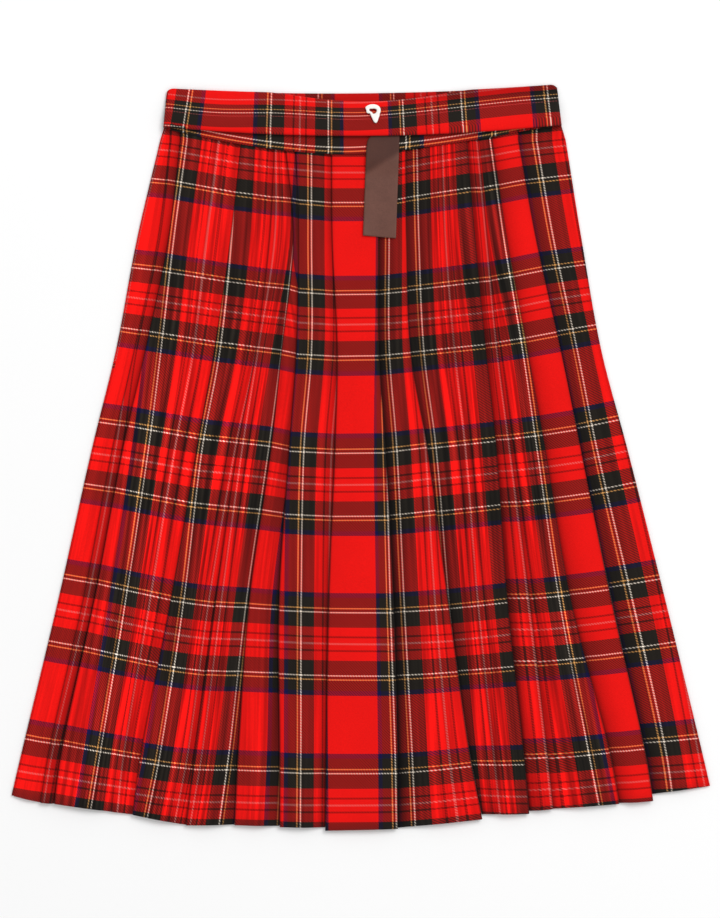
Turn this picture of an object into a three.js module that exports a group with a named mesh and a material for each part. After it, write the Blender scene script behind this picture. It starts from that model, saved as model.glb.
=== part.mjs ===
// A pleated tartan skirt laid flat on its back: a front whose knife pleats turn
// away from a plain centre panel, a back, a waistband, a curved yoke strip in two
// pieces, a cloth tab and a small plastic loop.
// Millimetres. +X is to the right, +Y runs from hem to waist, +Z is up from the
// surface that the skirt lies on. The origin is under the middle of the skirt.
import * as THREE from 'three';

// Cloth thicknesses and gaps
const CLOTH = 1.0;
const BACK_CLOTH = 1.2;
const BAND_CLOTH = 1.6;
const LAYER_GAP = 0.5;
const SEAM_GAP = 0.3;

// Heights of the middle of the front's layers above the surface
const BOTTOM_LAYER = BACK_CLOTH + SEAM_GAP + CLOTH / 2;
const RETURN_LAYER = BOTTOM_LAYER + CLOTH + LAYER_GAP;
const TOP_LAYER = RETURN_LAYER + CLOTH + LAYER_GAP;

// Lengths measured along the skirt
const WAIST_Y = 285.7;
const SKIRT_TOP_Y = 301.9;
const LOWEST_Y = -336.1;

// Pleats
const DEEPEST_PLEAT = 20;
const SHALLOWEST_PLEAT = 2;
const PLEAT_SHARE = 0.42;
const EDGE_CLEAR = 2.8;
const RETURN_CLEAR = 2.0;
const LIFT_AT_HEM = 1.6;
const FLAT_BELOW_WAIST = 20;
const HIDDEN_HEM_SHORTER = 0.8;

// Distances below the waist at which the fold edges are given
const DEPTHS = [0, 90, 189, 279, 414, 549, 612];

// Where each fold edge lies across the skirt at those depths. "lap" is the side of
// the edge on which its upper layer lies: 1 to its right, -1 to its left, 0 none.
const EDGES = [
  { name: 'side_left', lap: 0, x: [-179.6, -200.7, -219.6, -242.6, -272.7, -305.1, -319.9] },
  { name: 'narrow_left', lap: 1, x: [-171.3, -182.5, -203.5, -223.5, -249.5, -279.9, -290.5] },
  { name: 'second_left', lap: 1, x: [-162.0, -173.0, -193.5, -214.0, -239.5, -268.7, -277.5] },
  { name: 'third_left', lap: 1, x: [-107.1, -117.0, -131.4, -147.6, -170.6, -197.1, -205.7] },
  { name: 'fourth_left', lap: 1, x: [-77.0, -81.9, -94.0, -110.7, -130.1, -148.5, -156.2] },
  { name: 'fifth_left', lap: 1, x: [-67.7, -65.6, -71.5, -80.5, -99.9, -109.8, -113.0] },
  { name: 'sixth_left', lap: 1, x: [-58.1, -55.6, -57.5, -64.0, -73.0, -72.6, -72.5] },
  { name: 'centre_left', lap: 1, x: [-25.7, -25.2, -20.7, -22.9, -28.4, -30.6, -31.3] },
  { name: 'centre_right', lap: -1, x: [15.3, 15.8, 16.2, 22.1, 29.2, 32.9, 33.1] },
  { name: 'first_right', lap: -1, x: [40.1, 41.0, 44.6, 59.9, 78.3, 97.2, 109.4] },
  { name: 'second_right', lap: -1, x: [95.4, 103.0, 112.5, 122.0, 131.8, 146.2, 152.1] },
  { name: 'third_right', lap: -1, x: [105.4, 113.9, 123.8, 132.6, 147.2, 165.6, 173.2] },
  { name: 'fourth_right', lap: -1, x: [118.4, 131.8, 149.4, 164.2, 189.0, 223.7, 235.3] },
  { name: 'fifth_right', lap: -1, x: [141.8, 158.0, 177.3, 195.3, 224.6, 255.6, 265.9] },
  { name: 'side_right', lap: 0, x: [184.1, 198.5, 216.4, 241.0, 274.9, 307.6, 322.2] },
];

// The panels between those edges, left to right. "hem" is the height of the hem
// above its lowest point at the panel's left and right end, and "puff" is how far
// the middle of the panel stands up at the hem.
const PANELS = [
  { hem: [31.3, 25.0], puff: 2.2 },
  { hem: [25.0, 24.1], puff: 0.2 },
  { hem: [24.1, 14.2], puff: 1.8 },
  { hem: [14.2, 4.8], puff: 1.5 },
  { hem: [4.8, 5.3], puff: 1.5 },
  { hem: [5.0, 4.0], puff: 1.2 },
  { hem: [3.2, 2.7], puff: 1.6 },
  { hem: [0.0, 1.6], puff: 1.4 },
  { hem: [2.3, 10.2], puff: 1.8 },
  { hem: [14.6, 15.1], puff: 1.6 },
  { hem: [17.4, 19.4], puff: 0.6 },
  { hem: [19.4, 24.1], puff: 1.6 },
  { hem: [24.6, 26.6], puff: 1.2 },
  { hem: [32.7, 39.9], puff: 2.2 },
];

// The back's hem lies a little higher than the front's all the way across. Each
// entry gives how far its hem is above the skirt's lowest point.
const BACK_HEM = [
  { x: -319, up: 33.5 },
  { x: -277, up: 27.0 },
  { x: -206, up: 17.0 },
  { x: -156, up: 9.0 },
  { x: -72, up: 6.5 },
  { x: 10, up: 4.0 },
  { x: 60, up: 9.5 },
  { x: 109, up: 17.5 },
  { x: 173, up: 22.0 },
  { x: 235, up: 29.0 },
  { x: 266, up: 35.0 },
  { x: 321, up: 42.5 },
];

// Rows along the skirt, as shares of the way from its top edge to its hem
const ROWS = [0, 0.026, 0.09, 0.2, 0.33, 0.46, 0.6, 0.74, 0.88, 1];

// Waistband, drawn as two arcs that sag between its corners
const BAND = {
  left: -177.8, right: 181.3,
  lowerLeft: 297.4, lowerRight: 299.2, lowerSag: 9.0,
  upperLeft: 332.5, upperRight: 336.1, upperSag: 5.9,
  frontDip: 8.1, dipCentre: 8.6, dipHalfWidth: 95,
  cornerRadius: 7, sideStations: [0, 0.6, 3, 7], acrossStations: 22,
  leanLeft: 2.5, leanRight: -3.5,
};

// Height of the front band by distance up from its lower edge: of its underside at
// its middle, and of the middle of its wall at its ends
const BAND_SLOPE = [
  { up: 0, middle: 8.4, end: 3.2 },
  { up: 6, middle: 8.4, end: 3.2 },
  { up: 12, middle: 7.1, end: 2.5 },
  { up: 17, middle: 5.6, end: 2.15 },
  { up: 25, middle: 2.9, end: 2.1 },
  { up: 37, middle: 1.9, end: 2.1 },
];

// Yoke strip, cut in two pieces whose lower edge curves down towards the middle
const YOKE = {
  bottom: TOP_LAYER + CLOTH / 2 + SEAM_GAP, wall: 1.0, tuck: 5,
  left: { from: -173, to: 14, lowestAt: -14, reach: 166.5, sharpness: 1.7 },
  right: { from: 14.3, to: 172, lowestAt: -14, reach: 184, sharpness: 1.5 },
  edgeLeft: 297.2, edgeRight: 298.6, drop: 25, steps: 20,
};

// Cloth tab that comes out from under the band
const TAB = {
  wall: 0.9, topY: 291.5, bottomYLeft: 199.8, bottomYRight: 197.2, rows: 14,
  topLeft: 5.6, topRight: 35.2, bottomLeft: 2.2, bottomRight: 31.9,
  overYoke: 7.1, leavesYokeY: 270, liesDownY: 250, overPanel: 0.4,
};

// Small loop that lies on the front band, a drop shape with a three-cornered hole
const LOOP = { x: 11.2, y: 309.6, width: 13.2, height: 17.2, wall: 1.6, rim: 3.0 };

const COLOURS = {
  tartan: { color: 0xb31a1c, roughness: 0.88, metalness: 0 },
  tab: { color: 0x6b4b40, roughness: 0.7, metalness: 0 },
  loop: { color: 0xf2efe6, roughness: 0.4, metalness: 0 },
};

function mix(a, b, share) {
  return a + (b - a) * share;
}

function smooth(share) {
  const s = THREE.MathUtils.clamp(share, 0, 1);
  return s * s * (3 - 2 * s);
}

// Value of a table column at a distance, on a smooth curve through its entries.
function along(positions, values, at) {
  const last = positions.length - 1;
  if (at <= positions[0]) return values[0];
  const i = Math.min(last - 1, positions.findLastIndex((p) => p <= at));
  const step = positions[i + 1] - positions[i];
  const slope = (k) => {
    const a = Math.max(0, k - 1);
    const b = Math.min(last, k + 1);
    return (values[b] - values[a]) / (positions[b] - positions[a]);
  };
  const t = (at - positions[i]) / step;
  if (t > 1) return values[last] + slope(last) * (at - positions[last]);
  const h1 = t * t * (3 - 2 * t);
  const h2 = t * (1 - t) * (1 - t) * step;
  const h3 = t * t * (t - 1) * step;
  return values[i] * (1 - h1) + values[i + 1] * h1 + slope(i) * h2 + slope(i + 1) * h3;
}

// How loosely the cloth lies at a height: 0 at the waist, 1 at the hem.
function looseness(y) {
  return smooth((WAIST_Y - y - FLAT_BELOW_WAIST) / (WAIST_Y - LOWEST_Y - FLAT_BELOW_WAIST));
}

function edgePoint(edge, hemHeight, row) {
  const y = mix(SKIRT_TOP_Y, LOWEST_Y + hemHeight, row);
  return { x: along(DEPTHS, edge.x, WAIST_Y - y), y };
}

// A closed wall of even thickness about a grid of points: sections[row][i]. Each
// section's points run along +X, and rows run towards -Y.
function wall(sections, thickness) {
  const rows = sections.length;
  const across = sections[0].length;
  const positions = [];
  for (const side of [1, -1]) {
    for (const section of sections) {
      section.forEach((p, i) => {
        const before = section[Math.max(0, i - 1)];
        const after = section[Math.min(across - 1, i + 1)];
        const inward = new THREE.Vector2(p.x - before.x, p.z - before.z).normalize();
        const outward = new THREE.Vector2(after.x - p.x, after.z - p.z).normalize();
        const way = inward.add(outward).normalize();
        const reach = (side * thickness) / 2;
        positions.push(p.x - way.y * reach, p.y, p.z + way.x * reach);
      });
    }
  }
  const at = (side, row, i) => (side * rows + row) * across + i;
  const index = [];
  const quad = (a, b, c, d) => index.push(a, b, c, a, c, d);
  for (let row = 0; row < rows - 1; row++) {
    for (let i = 0; i < across - 1; i++) {
      quad(at(0, row, i), at(0, row + 1, i), at(0, row + 1, i + 1), at(0, row, i + 1));
      quad(at(1, row, i), at(1, row, i + 1), at(1, row + 1, i + 1), at(1, row + 1, i));
    }
    quad(at(0, row, 0), at(1, row, 0), at(1, row + 1, 0), at(0, row + 1, 0));
    const end = across - 1;
    quad(at(0, row, end), at(0, row + 1, end), at(1, row + 1, end), at(1, row, end));
  }
  const lastRow = rows - 1;
  for (let i = 0; i < across - 1; i++) {
    quad(at(0, 0, i), at(0, 0, i + 1), at(1, 0, i + 1), at(1, 0, i));
    quad(at(0, lastRow, i), at(1, lastRow, i), at(1, lastRow, i + 1), at(0, lastRow, i + 1));
  }
  const geometry = new THREE.BufferGeometry();
  geometry.setAttribute('position', new THREE.Float32BufferAttribute(positions, 3));
  geometry.setIndex(index);
  return geometry;
}

function piece(name, geometry, look) {
  const mesh = new THREE.Mesh(geometry, new THREE.MeshStandardMaterial(look));
  mesh.name = name;
  return mesh;
}

// How deep the pleat at an edge is, from the width of the panel that covers it.
function pleatDepth(width) {
  return THREE.MathUtils.clamp(width * PLEAT_SHARE - 1.5, SHALLOWEST_PLEAT, DEEPEST_PLEAT);
}

// The three layers of one fold, from the panel on its left to the one on its right.
// The turns stand half a wall inside the edge, so the cloth's outside is the edge.
function foldTurns(lap, left, right, depth, topZ) {
  const turn = (CLOTH + LAYER_GAP) / 2;
  const topTurn = (topZ - RETURN_LAYER) / 2;
  const innerZ = (BOTTOM_LAYER + RETURN_LAYER) / 2;
  const outerZ = (RETURN_LAYER + topZ) / 2;
  const upper = lap > 0 ? right : left;
  const lower = lap > 0 ? left : right;
  const shy = mix(upper.y, lower.y, 0.5) + HIDDEN_HEM_SHORTER;
  const hidden = lower.y + HIDDEN_HEM_SHORTER;
  const deep = upper.x + lap * (depth + topTurn);
  const points = [
    { x: deep, y: hidden, z: BOTTOM_LAYER },
    { x: deep + lap * turn, y: hidden, z: innerZ },
    { x: deep, y: shy, z: RETURN_LAYER },
    { x: upper.x + lap * topTurn, y: shy, z: RETURN_LAYER },
    { x: upper.x + (lap * CLOTH) / 2, y: upper.y, z: outerZ },
    { x: upper.x + lap * topTurn, y: upper.y, z: topZ },
  ];
  return lap > 0 ? points : points.reverse();
}

// The points of a panel that show, between two edges.
function panelPoints(panel, left, right, leftFold, rightFold) {
  const loose = looseness((left.y + right.y) / 2);
  const puff = panel.puff * loose;
  const lowZ = BOTTOM_LAYER;
  const start = leftFold.upper ? left.x + leftFold.reach + RETURN_CLEAR : left.x + EDGE_CLEAR;
  const end = rightFold.upper ? right.x - rightFold.reach - RETURN_CLEAR : right.x - EDGE_CLEAR;
  const startZ = leftFold.upper ? leftFold.topZ : lowZ;
  const endZ = rightFold.upper ? rightFold.topZ : lowZ;
  const shares = [0, 0.35, 0.7, 1];
  return shares.map((share) => {
    const x = mix(start, end, share);
    const y = mix(left.y, right.y, (x - left.x) / (right.x - left.x));
    const rise = Math.sin(Math.PI * mix(0.12, 0.88, share)) * puff;
    const held = (share === 0 && !leftFold.upper) || (share === 1 && !rightFold.upper);
    return { x, y, z: mix(startZ, endZ, smooth(share)) + (held ? 0 : rise) };
  });
}

function frontSection(row) {
  const folds = EDGES.map((edge, k) => {
    const leftPanel = PANELS[Math.max(0, k - 1)];
    const rightPanel = PANELS[Math.min(PANELS.length - 1, k)];
    const hems = [k > 0 ? leftPanel.hem[1] : rightPanel.hem[0], rightPanel.hem[0]];
    if (k === EDGES.length - 1) hems[1] = leftPanel.hem[1];
    return { lap: edge.lap, left: edgePoint(edge, hems[0], row), right: edgePoint(edge, hems[1], row) };
  });
  folds.forEach((fold, k) => {
    const upper = fold.lap > 0 ? fold.right : fold.left;
    const next = folds[k + fold.lap];
    const width = fold.lap ? Math.abs((fold.lap > 0 ? next.left.x : next.right.x) - upper.x) : 0;
    fold.depth = pleatDepth(width);
    fold.topZ = TOP_LAYER + LIFT_AT_HEM * looseness(upper.y);
    fold.reach = fold.depth + (fold.topZ - RETURN_LAYER) / 2;
  });
  const points = [];
  PANELS.forEach((panel, k) => {
    const a = folds[k];
    const b = folds[k + 1];
    if (k === 0) points.push({ x: a.right.x + CLOTH / 2, y: a.right.y, z: BOTTOM_LAYER });
    points.push(...panelPoints(
      panel, a.right, b.left,
      { upper: a.lap > 0, reach: a.reach, topZ: a.topZ },
      { upper: b.lap < 0, reach: b.reach, topZ: b.topZ },
    ));
    if (b.lap) points.push(...foldTurns(b.lap, b.left, b.right, b.depth, b.topZ));
    else points.push({ x: b.left.x - CLOTH / 2, y: b.left.y, z: BOTTOM_LAYER });
  });
  return points;
}

function frontPanel() {
  return piece('front_panel', wall(ROWS.map(frontSection), CLOTH), COLOURS.tartan);
}

function backHem(share) {
  const x = mix(EDGES[0].x.at(-1), EDGES.at(-1).x.at(-1), share);
  return LOWEST_Y + along(BACK_HEM.map((p) => p.x), BACK_HEM.map((p) => p.up), x);
}

function backPanel() {
  const across = 20;
  const sections = ROWS.map((row) => {
    return Array.from({ length: across + 1 }, (_, i) => {
      const share = i / across;
      const top = bandLower(mix(BAND.left, BAND.right, share)) - SEAM_GAP;
      const y = mix(top, backHem(share), row);
      const leftX = along(DEPTHS, EDGES[0].x, WAIST_Y - y);
      const rightX = along(DEPTHS, EDGES.at(-1).x, WAIST_Y - y);
      return { x: mix(leftX, rightX, share), y, z: BACK_CLOTH / 2 };
    });
  });
  return piece('back_panel', wall(sections, BACK_CLOTH), COLOURS.tartan);
}

function bandShare(x) {
  return THREE.MathUtils.clamp((x - BAND.left) / (BAND.right - BAND.left), 0, 1);
}

function bandLower(x) {
  const share = bandShare(x);
  const sag = 1 - (2 * share - 1) ** 2;
  return mix(BAND.lowerLeft, BAND.lowerRight, share) - BAND.lowerSag * sag;
}

function bandUpper(x, front) {
  const share = bandShare(x);
  const sag = 1 - (2 * share - 1) ** 2;
  const off = Math.min(1, Math.abs(x - BAND.dipCentre) / BAND.dipHalfWidth);
  const dip = front ? BAND.frontDip * (1 - off * off) ** 1.5 : 0;
  const fromEnd = Math.min(x - BAND.left, BAND.right - x);
  const inside = Math.max(0, BAND.cornerRadius - fromEnd);
  const corner = BAND.cornerRadius - Math.sqrt(BAND.cornerRadius ** 2 - inside ** 2);
  return mix(BAND.upperLeft, BAND.upperRight, share) - BAND.upperSag * sag - dip - corner;
}

// How far the band leans in at a place, in full at its upper edge and 0 at its lower.
function bandLean(x, share) {
  return mix(BAND.leanLeft, BAND.leanRight, bandShare(x)) * (1 - share);
}

// Places across the band: close together at its rounded ends, even between them.
function bandStations() {
  const inner = BAND.sideStations.at(-1);
  const ends = BAND.sideStations.slice(0, -1);
  const span = BAND.right - BAND.left - 2 * inner;
  const even = Array.from({ length: BAND.acrossStations + 1 }, (_, i) => (
    BAND.left + inner + (span * i) / BAND.acrossStations));
  return [
    ...ends.map((s) => BAND.left + s),
    ...even,
    ...ends.toReversed().map((s) => BAND.right - s),
  ];
}

function bandRow(share, front) {
  return bandStations().map((x) => {
    const lower = bandLower(x);
    const y = mix(bandUpper(x, front), lower, share);
    const lean = bandLean(x, share);
    if (!front) return { x: x + lean, y, z: BACK_CLOTH / 2 };
    const ups = BAND_SLOPE.map((s) => s.up);
    const column = (name) => along(ups, BAND_SLOPE.map((s) => s[name]), y - lower);
    const fromEnd = Math.min(x - BAND.left, BAND.right - x);
    const inner = BAND.sideStations.at(-1);
    const round = Math.sqrt(1 - (1 - Math.min(1, fromEnd / inner)) ** 2);
    const z = mix(column('end'), column('middle') + BAND_CLOTH / 2, round);
    const inset = Math.max(0, BAND_CLOTH / 2 - fromEnd) * Math.sign(BAND.left + BAND.right - 2 * x);
    return { x: x + inset + lean, y, z };
  });
}

function waistbands() {
  const frontShares = [0, 0.17, 0.33, 0.5, 0.67, 0.83, 1];
  const backShares = [0, 0.5, 1];
  return [
    piece('waistband_front', wall(frontShares.map((s) => bandRow(s, true)), BAND_CLOTH), COLOURS.tartan),
    piece('waistband_back', wall(backShares.map((s) => bandRow(s, false)), BACK_CLOTH), COLOURS.tartan),
  ];
}

// Lower edge of the yoke strip: level with its ends, lowest near the middle.
function yokeLower(x, side) {
  const off = Math.min(1, Math.abs(x - side.lowestAt) / side.reach);
  return mix(YOKE.edgeLeft, YOKE.edgeRight, bandShare(x)) - YOKE.drop * (1 - off ** side.sharpness);
}

function yokePiece(name, side) {
  const rows = [0, 0.5, 1].map((share) => (
    Array.from({ length: YOKE.steps + 1 }, (_, i) => {
      const x = mix(side.from, side.to, i / YOKE.steps);
      const top = bandLower(x) + YOKE.tuck;
      const low = Math.min(yokeLower(x, side), bandLower(x) - 1);
      return { x, y: mix(top, low, share), z: YOKE.bottom + YOKE.wall / 2 };
    })));
  return piece(name, wall(rows, YOKE.wall), COLOURS.tartan);
}

// The tab lies over the yoke at its top and on the centre panel lower down.
function tabHeight(y) {
  const onPanel = TOP_LAYER + LIFT_AT_HEM * looseness(y) + CLOTH / 2 + TAB.overPanel;
  const down = smooth((TAB.leavesYokeY - y) / (TAB.leavesYokeY - TAB.liesDownY));
  return mix(TAB.overYoke, onPanel, down) + TAB.wall / 2;
}

function clothTab() {
  const rows = Array.from({ length: TAB.rows + 1 }, (_, j) => {
    const share = j / TAB.rows;
    const left = mix(TAB.topLeft, TAB.bottomLeft, share);
    const right = mix(TAB.topRight, TAB.bottomRight, share);
    return [0, 0.25, 0.5, 0.75, 1].map((s) => {
      const y = mix(TAB.topY, mix(TAB.bottomYLeft, TAB.bottomYRight, s), share ** 1.2);
      return { x: mix(left, right, s), y, z: tabHeight(y) };
    });
  });
  return piece('cloth_tab', wall(rows, TAB.wall), COLOURS.tab);
}

function bandTopAt(x, y) {
  const middle = BAND_SLOPE.map((s) => s.middle);
  return along(BAND_SLOPE.map((s) => s.up), middle, y - bandLower(x)) + BAND_CLOTH;
}

function dropShape(width, height, top) {
  const shape = new THREE.Shape();
  const half = width / 2;
  shape.moveTo(0, top - height);
  shape.bezierCurveTo(half * 0.7, top - height * 0.75, half, top - height * 0.45, half, top - height * 0.25);
  shape.bezierCurveTo(half, top - height * 0.05, half * 0.6, top, 0, top);
  shape.bezierCurveTo(-half * 0.6, top, -half, top - height * 0.05, -half, top - height * 0.25);
  shape.bezierCurveTo(-half, top - height * 0.45, -half * 0.7, top - height * 0.75, 0, top - height);
  return shape;
}

function plasticLoop() {
  const shape = dropShape(LOOP.width, LOOP.height, LOOP.height / 2);
  const holeTop = LOOP.height / 2 - LOOP.rim;
  const hole = dropShape(LOOP.width - 2 * LOOP.rim, LOOP.height * 0.42, holeTop);
  shape.holes.push(hole);
  const body = new THREE.ExtrudeGeometry(shape, { depth: LOOP.wall, bevelEnabled: false, curveSegments: 6 });
  const mesh = piece('plastic_loop', body, COLOURS.loop);
  const top = bandTopAt(LOOP.x, LOOP.y + LOOP.height / 2);
  const low = bandTopAt(LOOP.x, LOOP.y - LOOP.height / 2);
  const tilt = Math.atan2(top - low, LOOP.height);
  mesh.rotation.x = tilt;
  mesh.position.set(LOOP.x, LOOP.y, (top + low) / 2 + 2 * SEAM_GAP);
  return mesh;
}

const skirt = new THREE.Group();
skirt.add(
  backPanel(),
  frontPanel(),
  ...waistbands(),
  yokePiece('yoke_left', YOKE.left),
  yokePiece('yoke_right', YOKE.right),
  clothTab(),
  plasticLoop(),
);

export default skirt;
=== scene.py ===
"""Dresses a pleated tartan skirt that lies flat on its back, seen from straight above.

Lengths in the tables are in millimetres and the meshes are in metres. +X is to the
right, +Y runs from hem to waist, and +Z is up from the surface the skirt lies on.
"""

import logging
from dataclasses import dataclass
from enum import Enum

import bpy
import numpy as np
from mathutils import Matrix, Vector

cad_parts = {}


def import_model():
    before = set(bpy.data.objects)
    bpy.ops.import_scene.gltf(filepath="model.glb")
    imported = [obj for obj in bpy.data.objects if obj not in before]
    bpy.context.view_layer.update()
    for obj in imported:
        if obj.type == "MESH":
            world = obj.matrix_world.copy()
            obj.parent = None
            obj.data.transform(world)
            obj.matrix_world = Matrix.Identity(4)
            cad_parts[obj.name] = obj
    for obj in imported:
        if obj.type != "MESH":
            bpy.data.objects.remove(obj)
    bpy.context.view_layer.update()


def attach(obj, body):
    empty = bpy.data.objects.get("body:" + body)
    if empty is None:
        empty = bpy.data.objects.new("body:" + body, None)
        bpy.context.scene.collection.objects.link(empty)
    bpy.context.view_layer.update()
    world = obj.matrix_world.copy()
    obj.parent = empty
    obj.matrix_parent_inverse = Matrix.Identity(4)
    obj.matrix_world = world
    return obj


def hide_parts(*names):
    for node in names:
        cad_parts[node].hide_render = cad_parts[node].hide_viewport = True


MM = 0.001
BODY = "root"

log = logging.getLogger("skirt")


class Lap(Enum):
    """Which side of a fold edge its upper layer lies on."""

    NONE = 0
    RIGHT = 1
    LEFT = -1


@dataclass(frozen=True)
class FoldEdge:
    """A pleat's edge: how dark and how wide its shadow falls on the panel that it covers,
    and where it lies across the skirt at each of DEPTHS."""

    name: str
    lap: Lap
    shadow: float
    spread: float
    across: tuple[float, ...]


@dataclass(frozen=True)
class Stripe:
    """A line of the tartan on a panel: its place in the warp's sett, and where it lies
    across the skirt at each of DEPTHS."""

    place: float
    across: tuple[float, ...]


@dataclass(frozen=True)
class Panel:
    """The cloth that shows between two fold edges. hem is its height above the lowest
    hem at its left and right end, puff is how far its middle stands up at the hem, and
    the gather value is how strongly the painted light and shade of fine gathers show.
    rises tells how far each pale weft line stands above its level at the panel's left
    and right end. The last value is painted shade laid evenly over the whole panel,
    and painted light where it is below 0."""

    name: str
    hem: tuple[float, float]
    puff: float
    gather: float
    stripes: tuple[Stripe, ...]
    rises: tuple[tuple[float, float], ...]
    tone: float = 0.0


@dataclass(frozen=True)
class SoftCrease:
    """A shallow trough or ridge down one panel, with its height and half width."""

    panel: str
    across: tuple[float, ...]
    height: float
    half_width: float
    starts_at: float


# Distances below the waist at which folds and stripes are given
DEPTHS = (0, 90, 189, 279, 414, 549, 612)

EDGES = (
    FoldEdge("side_left", Lap.NONE, 0.00, 1.0, (-180.8, -201.9, -220.6, -242.6, -272.7, -305.1, -319.9)),
    FoldEdge("narrow_left", Lap.RIGHT, 0.20, 1.5, (-171.3, -182.5, -203.5, -223.5, -249.5, -279.9, -290.5)),
    FoldEdge("second_left", Lap.RIGHT, 0.45, 4.5, (-162.0, -173.0, -193.5, -214.0, -239.5, -268.7, -277.5)),
    FoldEdge("third_left", Lap.RIGHT, 0.12, 1.5, (-107.1, -117.0, -131.4, -147.6, -170.6, -197.1, -205.7)),
    FoldEdge("fourth_left", Lap.RIGHT, 0.25, 1.5, (-77.0, -81.9, -94.0, -110.7, -130.1, -148.5, -156.2)),
    FoldEdge("fifth_left", Lap.RIGHT, 0.42, 2.0, (-67.7, -60.2, -70.8, -80.5, -99.9, -109.8, -113.0)),
    FoldEdge("sixth_left", Lap.RIGHT, 0.45, 3.0, (-58.1, -55.6, -57.5, -64.0, -73.0, -72.6, -72.5)),
    FoldEdge("centre_left", Lap.RIGHT, 0.50, 2.4, (-25.7, -25.2, -20.7, -22.9, -28.4, -30.6, -31.3)),
    FoldEdge("centre_right", Lap.LEFT, 0.80, 4.2, (15.3, 15.8, 16.2, 22.1, 29.2, 32.9, 33.1)),
    FoldEdge("first_right", Lap.LEFT, 0.50, 3.5, (40.1, 41.0, 44.6, 59.9, 78.3, 97.2, 109.4)),
    FoldEdge("second_right", Lap.LEFT, 0.68, 3.2, (95.4, 103.0, 112.5, 122.0, 131.8, 146.2, 152.1)),
    FoldEdge("third_right", Lap.LEFT, 0.40, 1.5, (105.4, 113.9, 123.4, 135.0, 151.8, 167.6, 174.4)),
    FoldEdge("fourth_right", Lap.LEFT, 0.48, 3.0, (118.4, 131.8, 150.0, 166.2, 189.0, 223.7, 235.3)),
    FoldEdge("fifth_right", Lap.LEFT, 0.62, 4.5, (141.8, 158.0, 180.0, 198.2, 225.4, 255.6, 265.9)),
    FoldEdge("side_right", Lap.NONE, 0.00, 1.0, (185.2, 199.6, 217.2, 241.0, 274.9, 307.6, 322.2)),
)


def beside(fold: str, place: float, off: float = 0.0) -> Stripe:
    """Makes a stripe that runs along a fold edge.

    Args:
        fold: The edge's name.
        place: The stripe's place in the warp's sett.
        off: How far right of the edge it runs.

    Returns:
        The stripe.
    """
    edge = next(edge for edge in EDGES if edge.name == fold)
    return Stripe(place, tuple(at + off for at in edge.across))


# Places in the warp's sett, from the middle of the pale line that it is mirrored about:
# the middles of the lines and of the wide red, and where dark, red and the next blue start
WARP_REPEAT = 125.1
PALE = 0.0
DARK_START = 13.0
WHITE = 24.7
YELLOW = 27.8
RED_START = 40.0
RED_MIDDLE = 62.6
NEXT_BLUE = WARP_REPEAT - RED_START

# Levels of the pale weft lines in the middle of the skirt, from the lowest up, and the
# cloth between two of them
PALE_LEVELS = (-312.4, -168.4, -24.4, 119.6, 263.6)
WEFT_REPEAT = 144.0

# The number after a panel's weft rises is painted shade laid evenly over it; below 0 it is painted light
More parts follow.
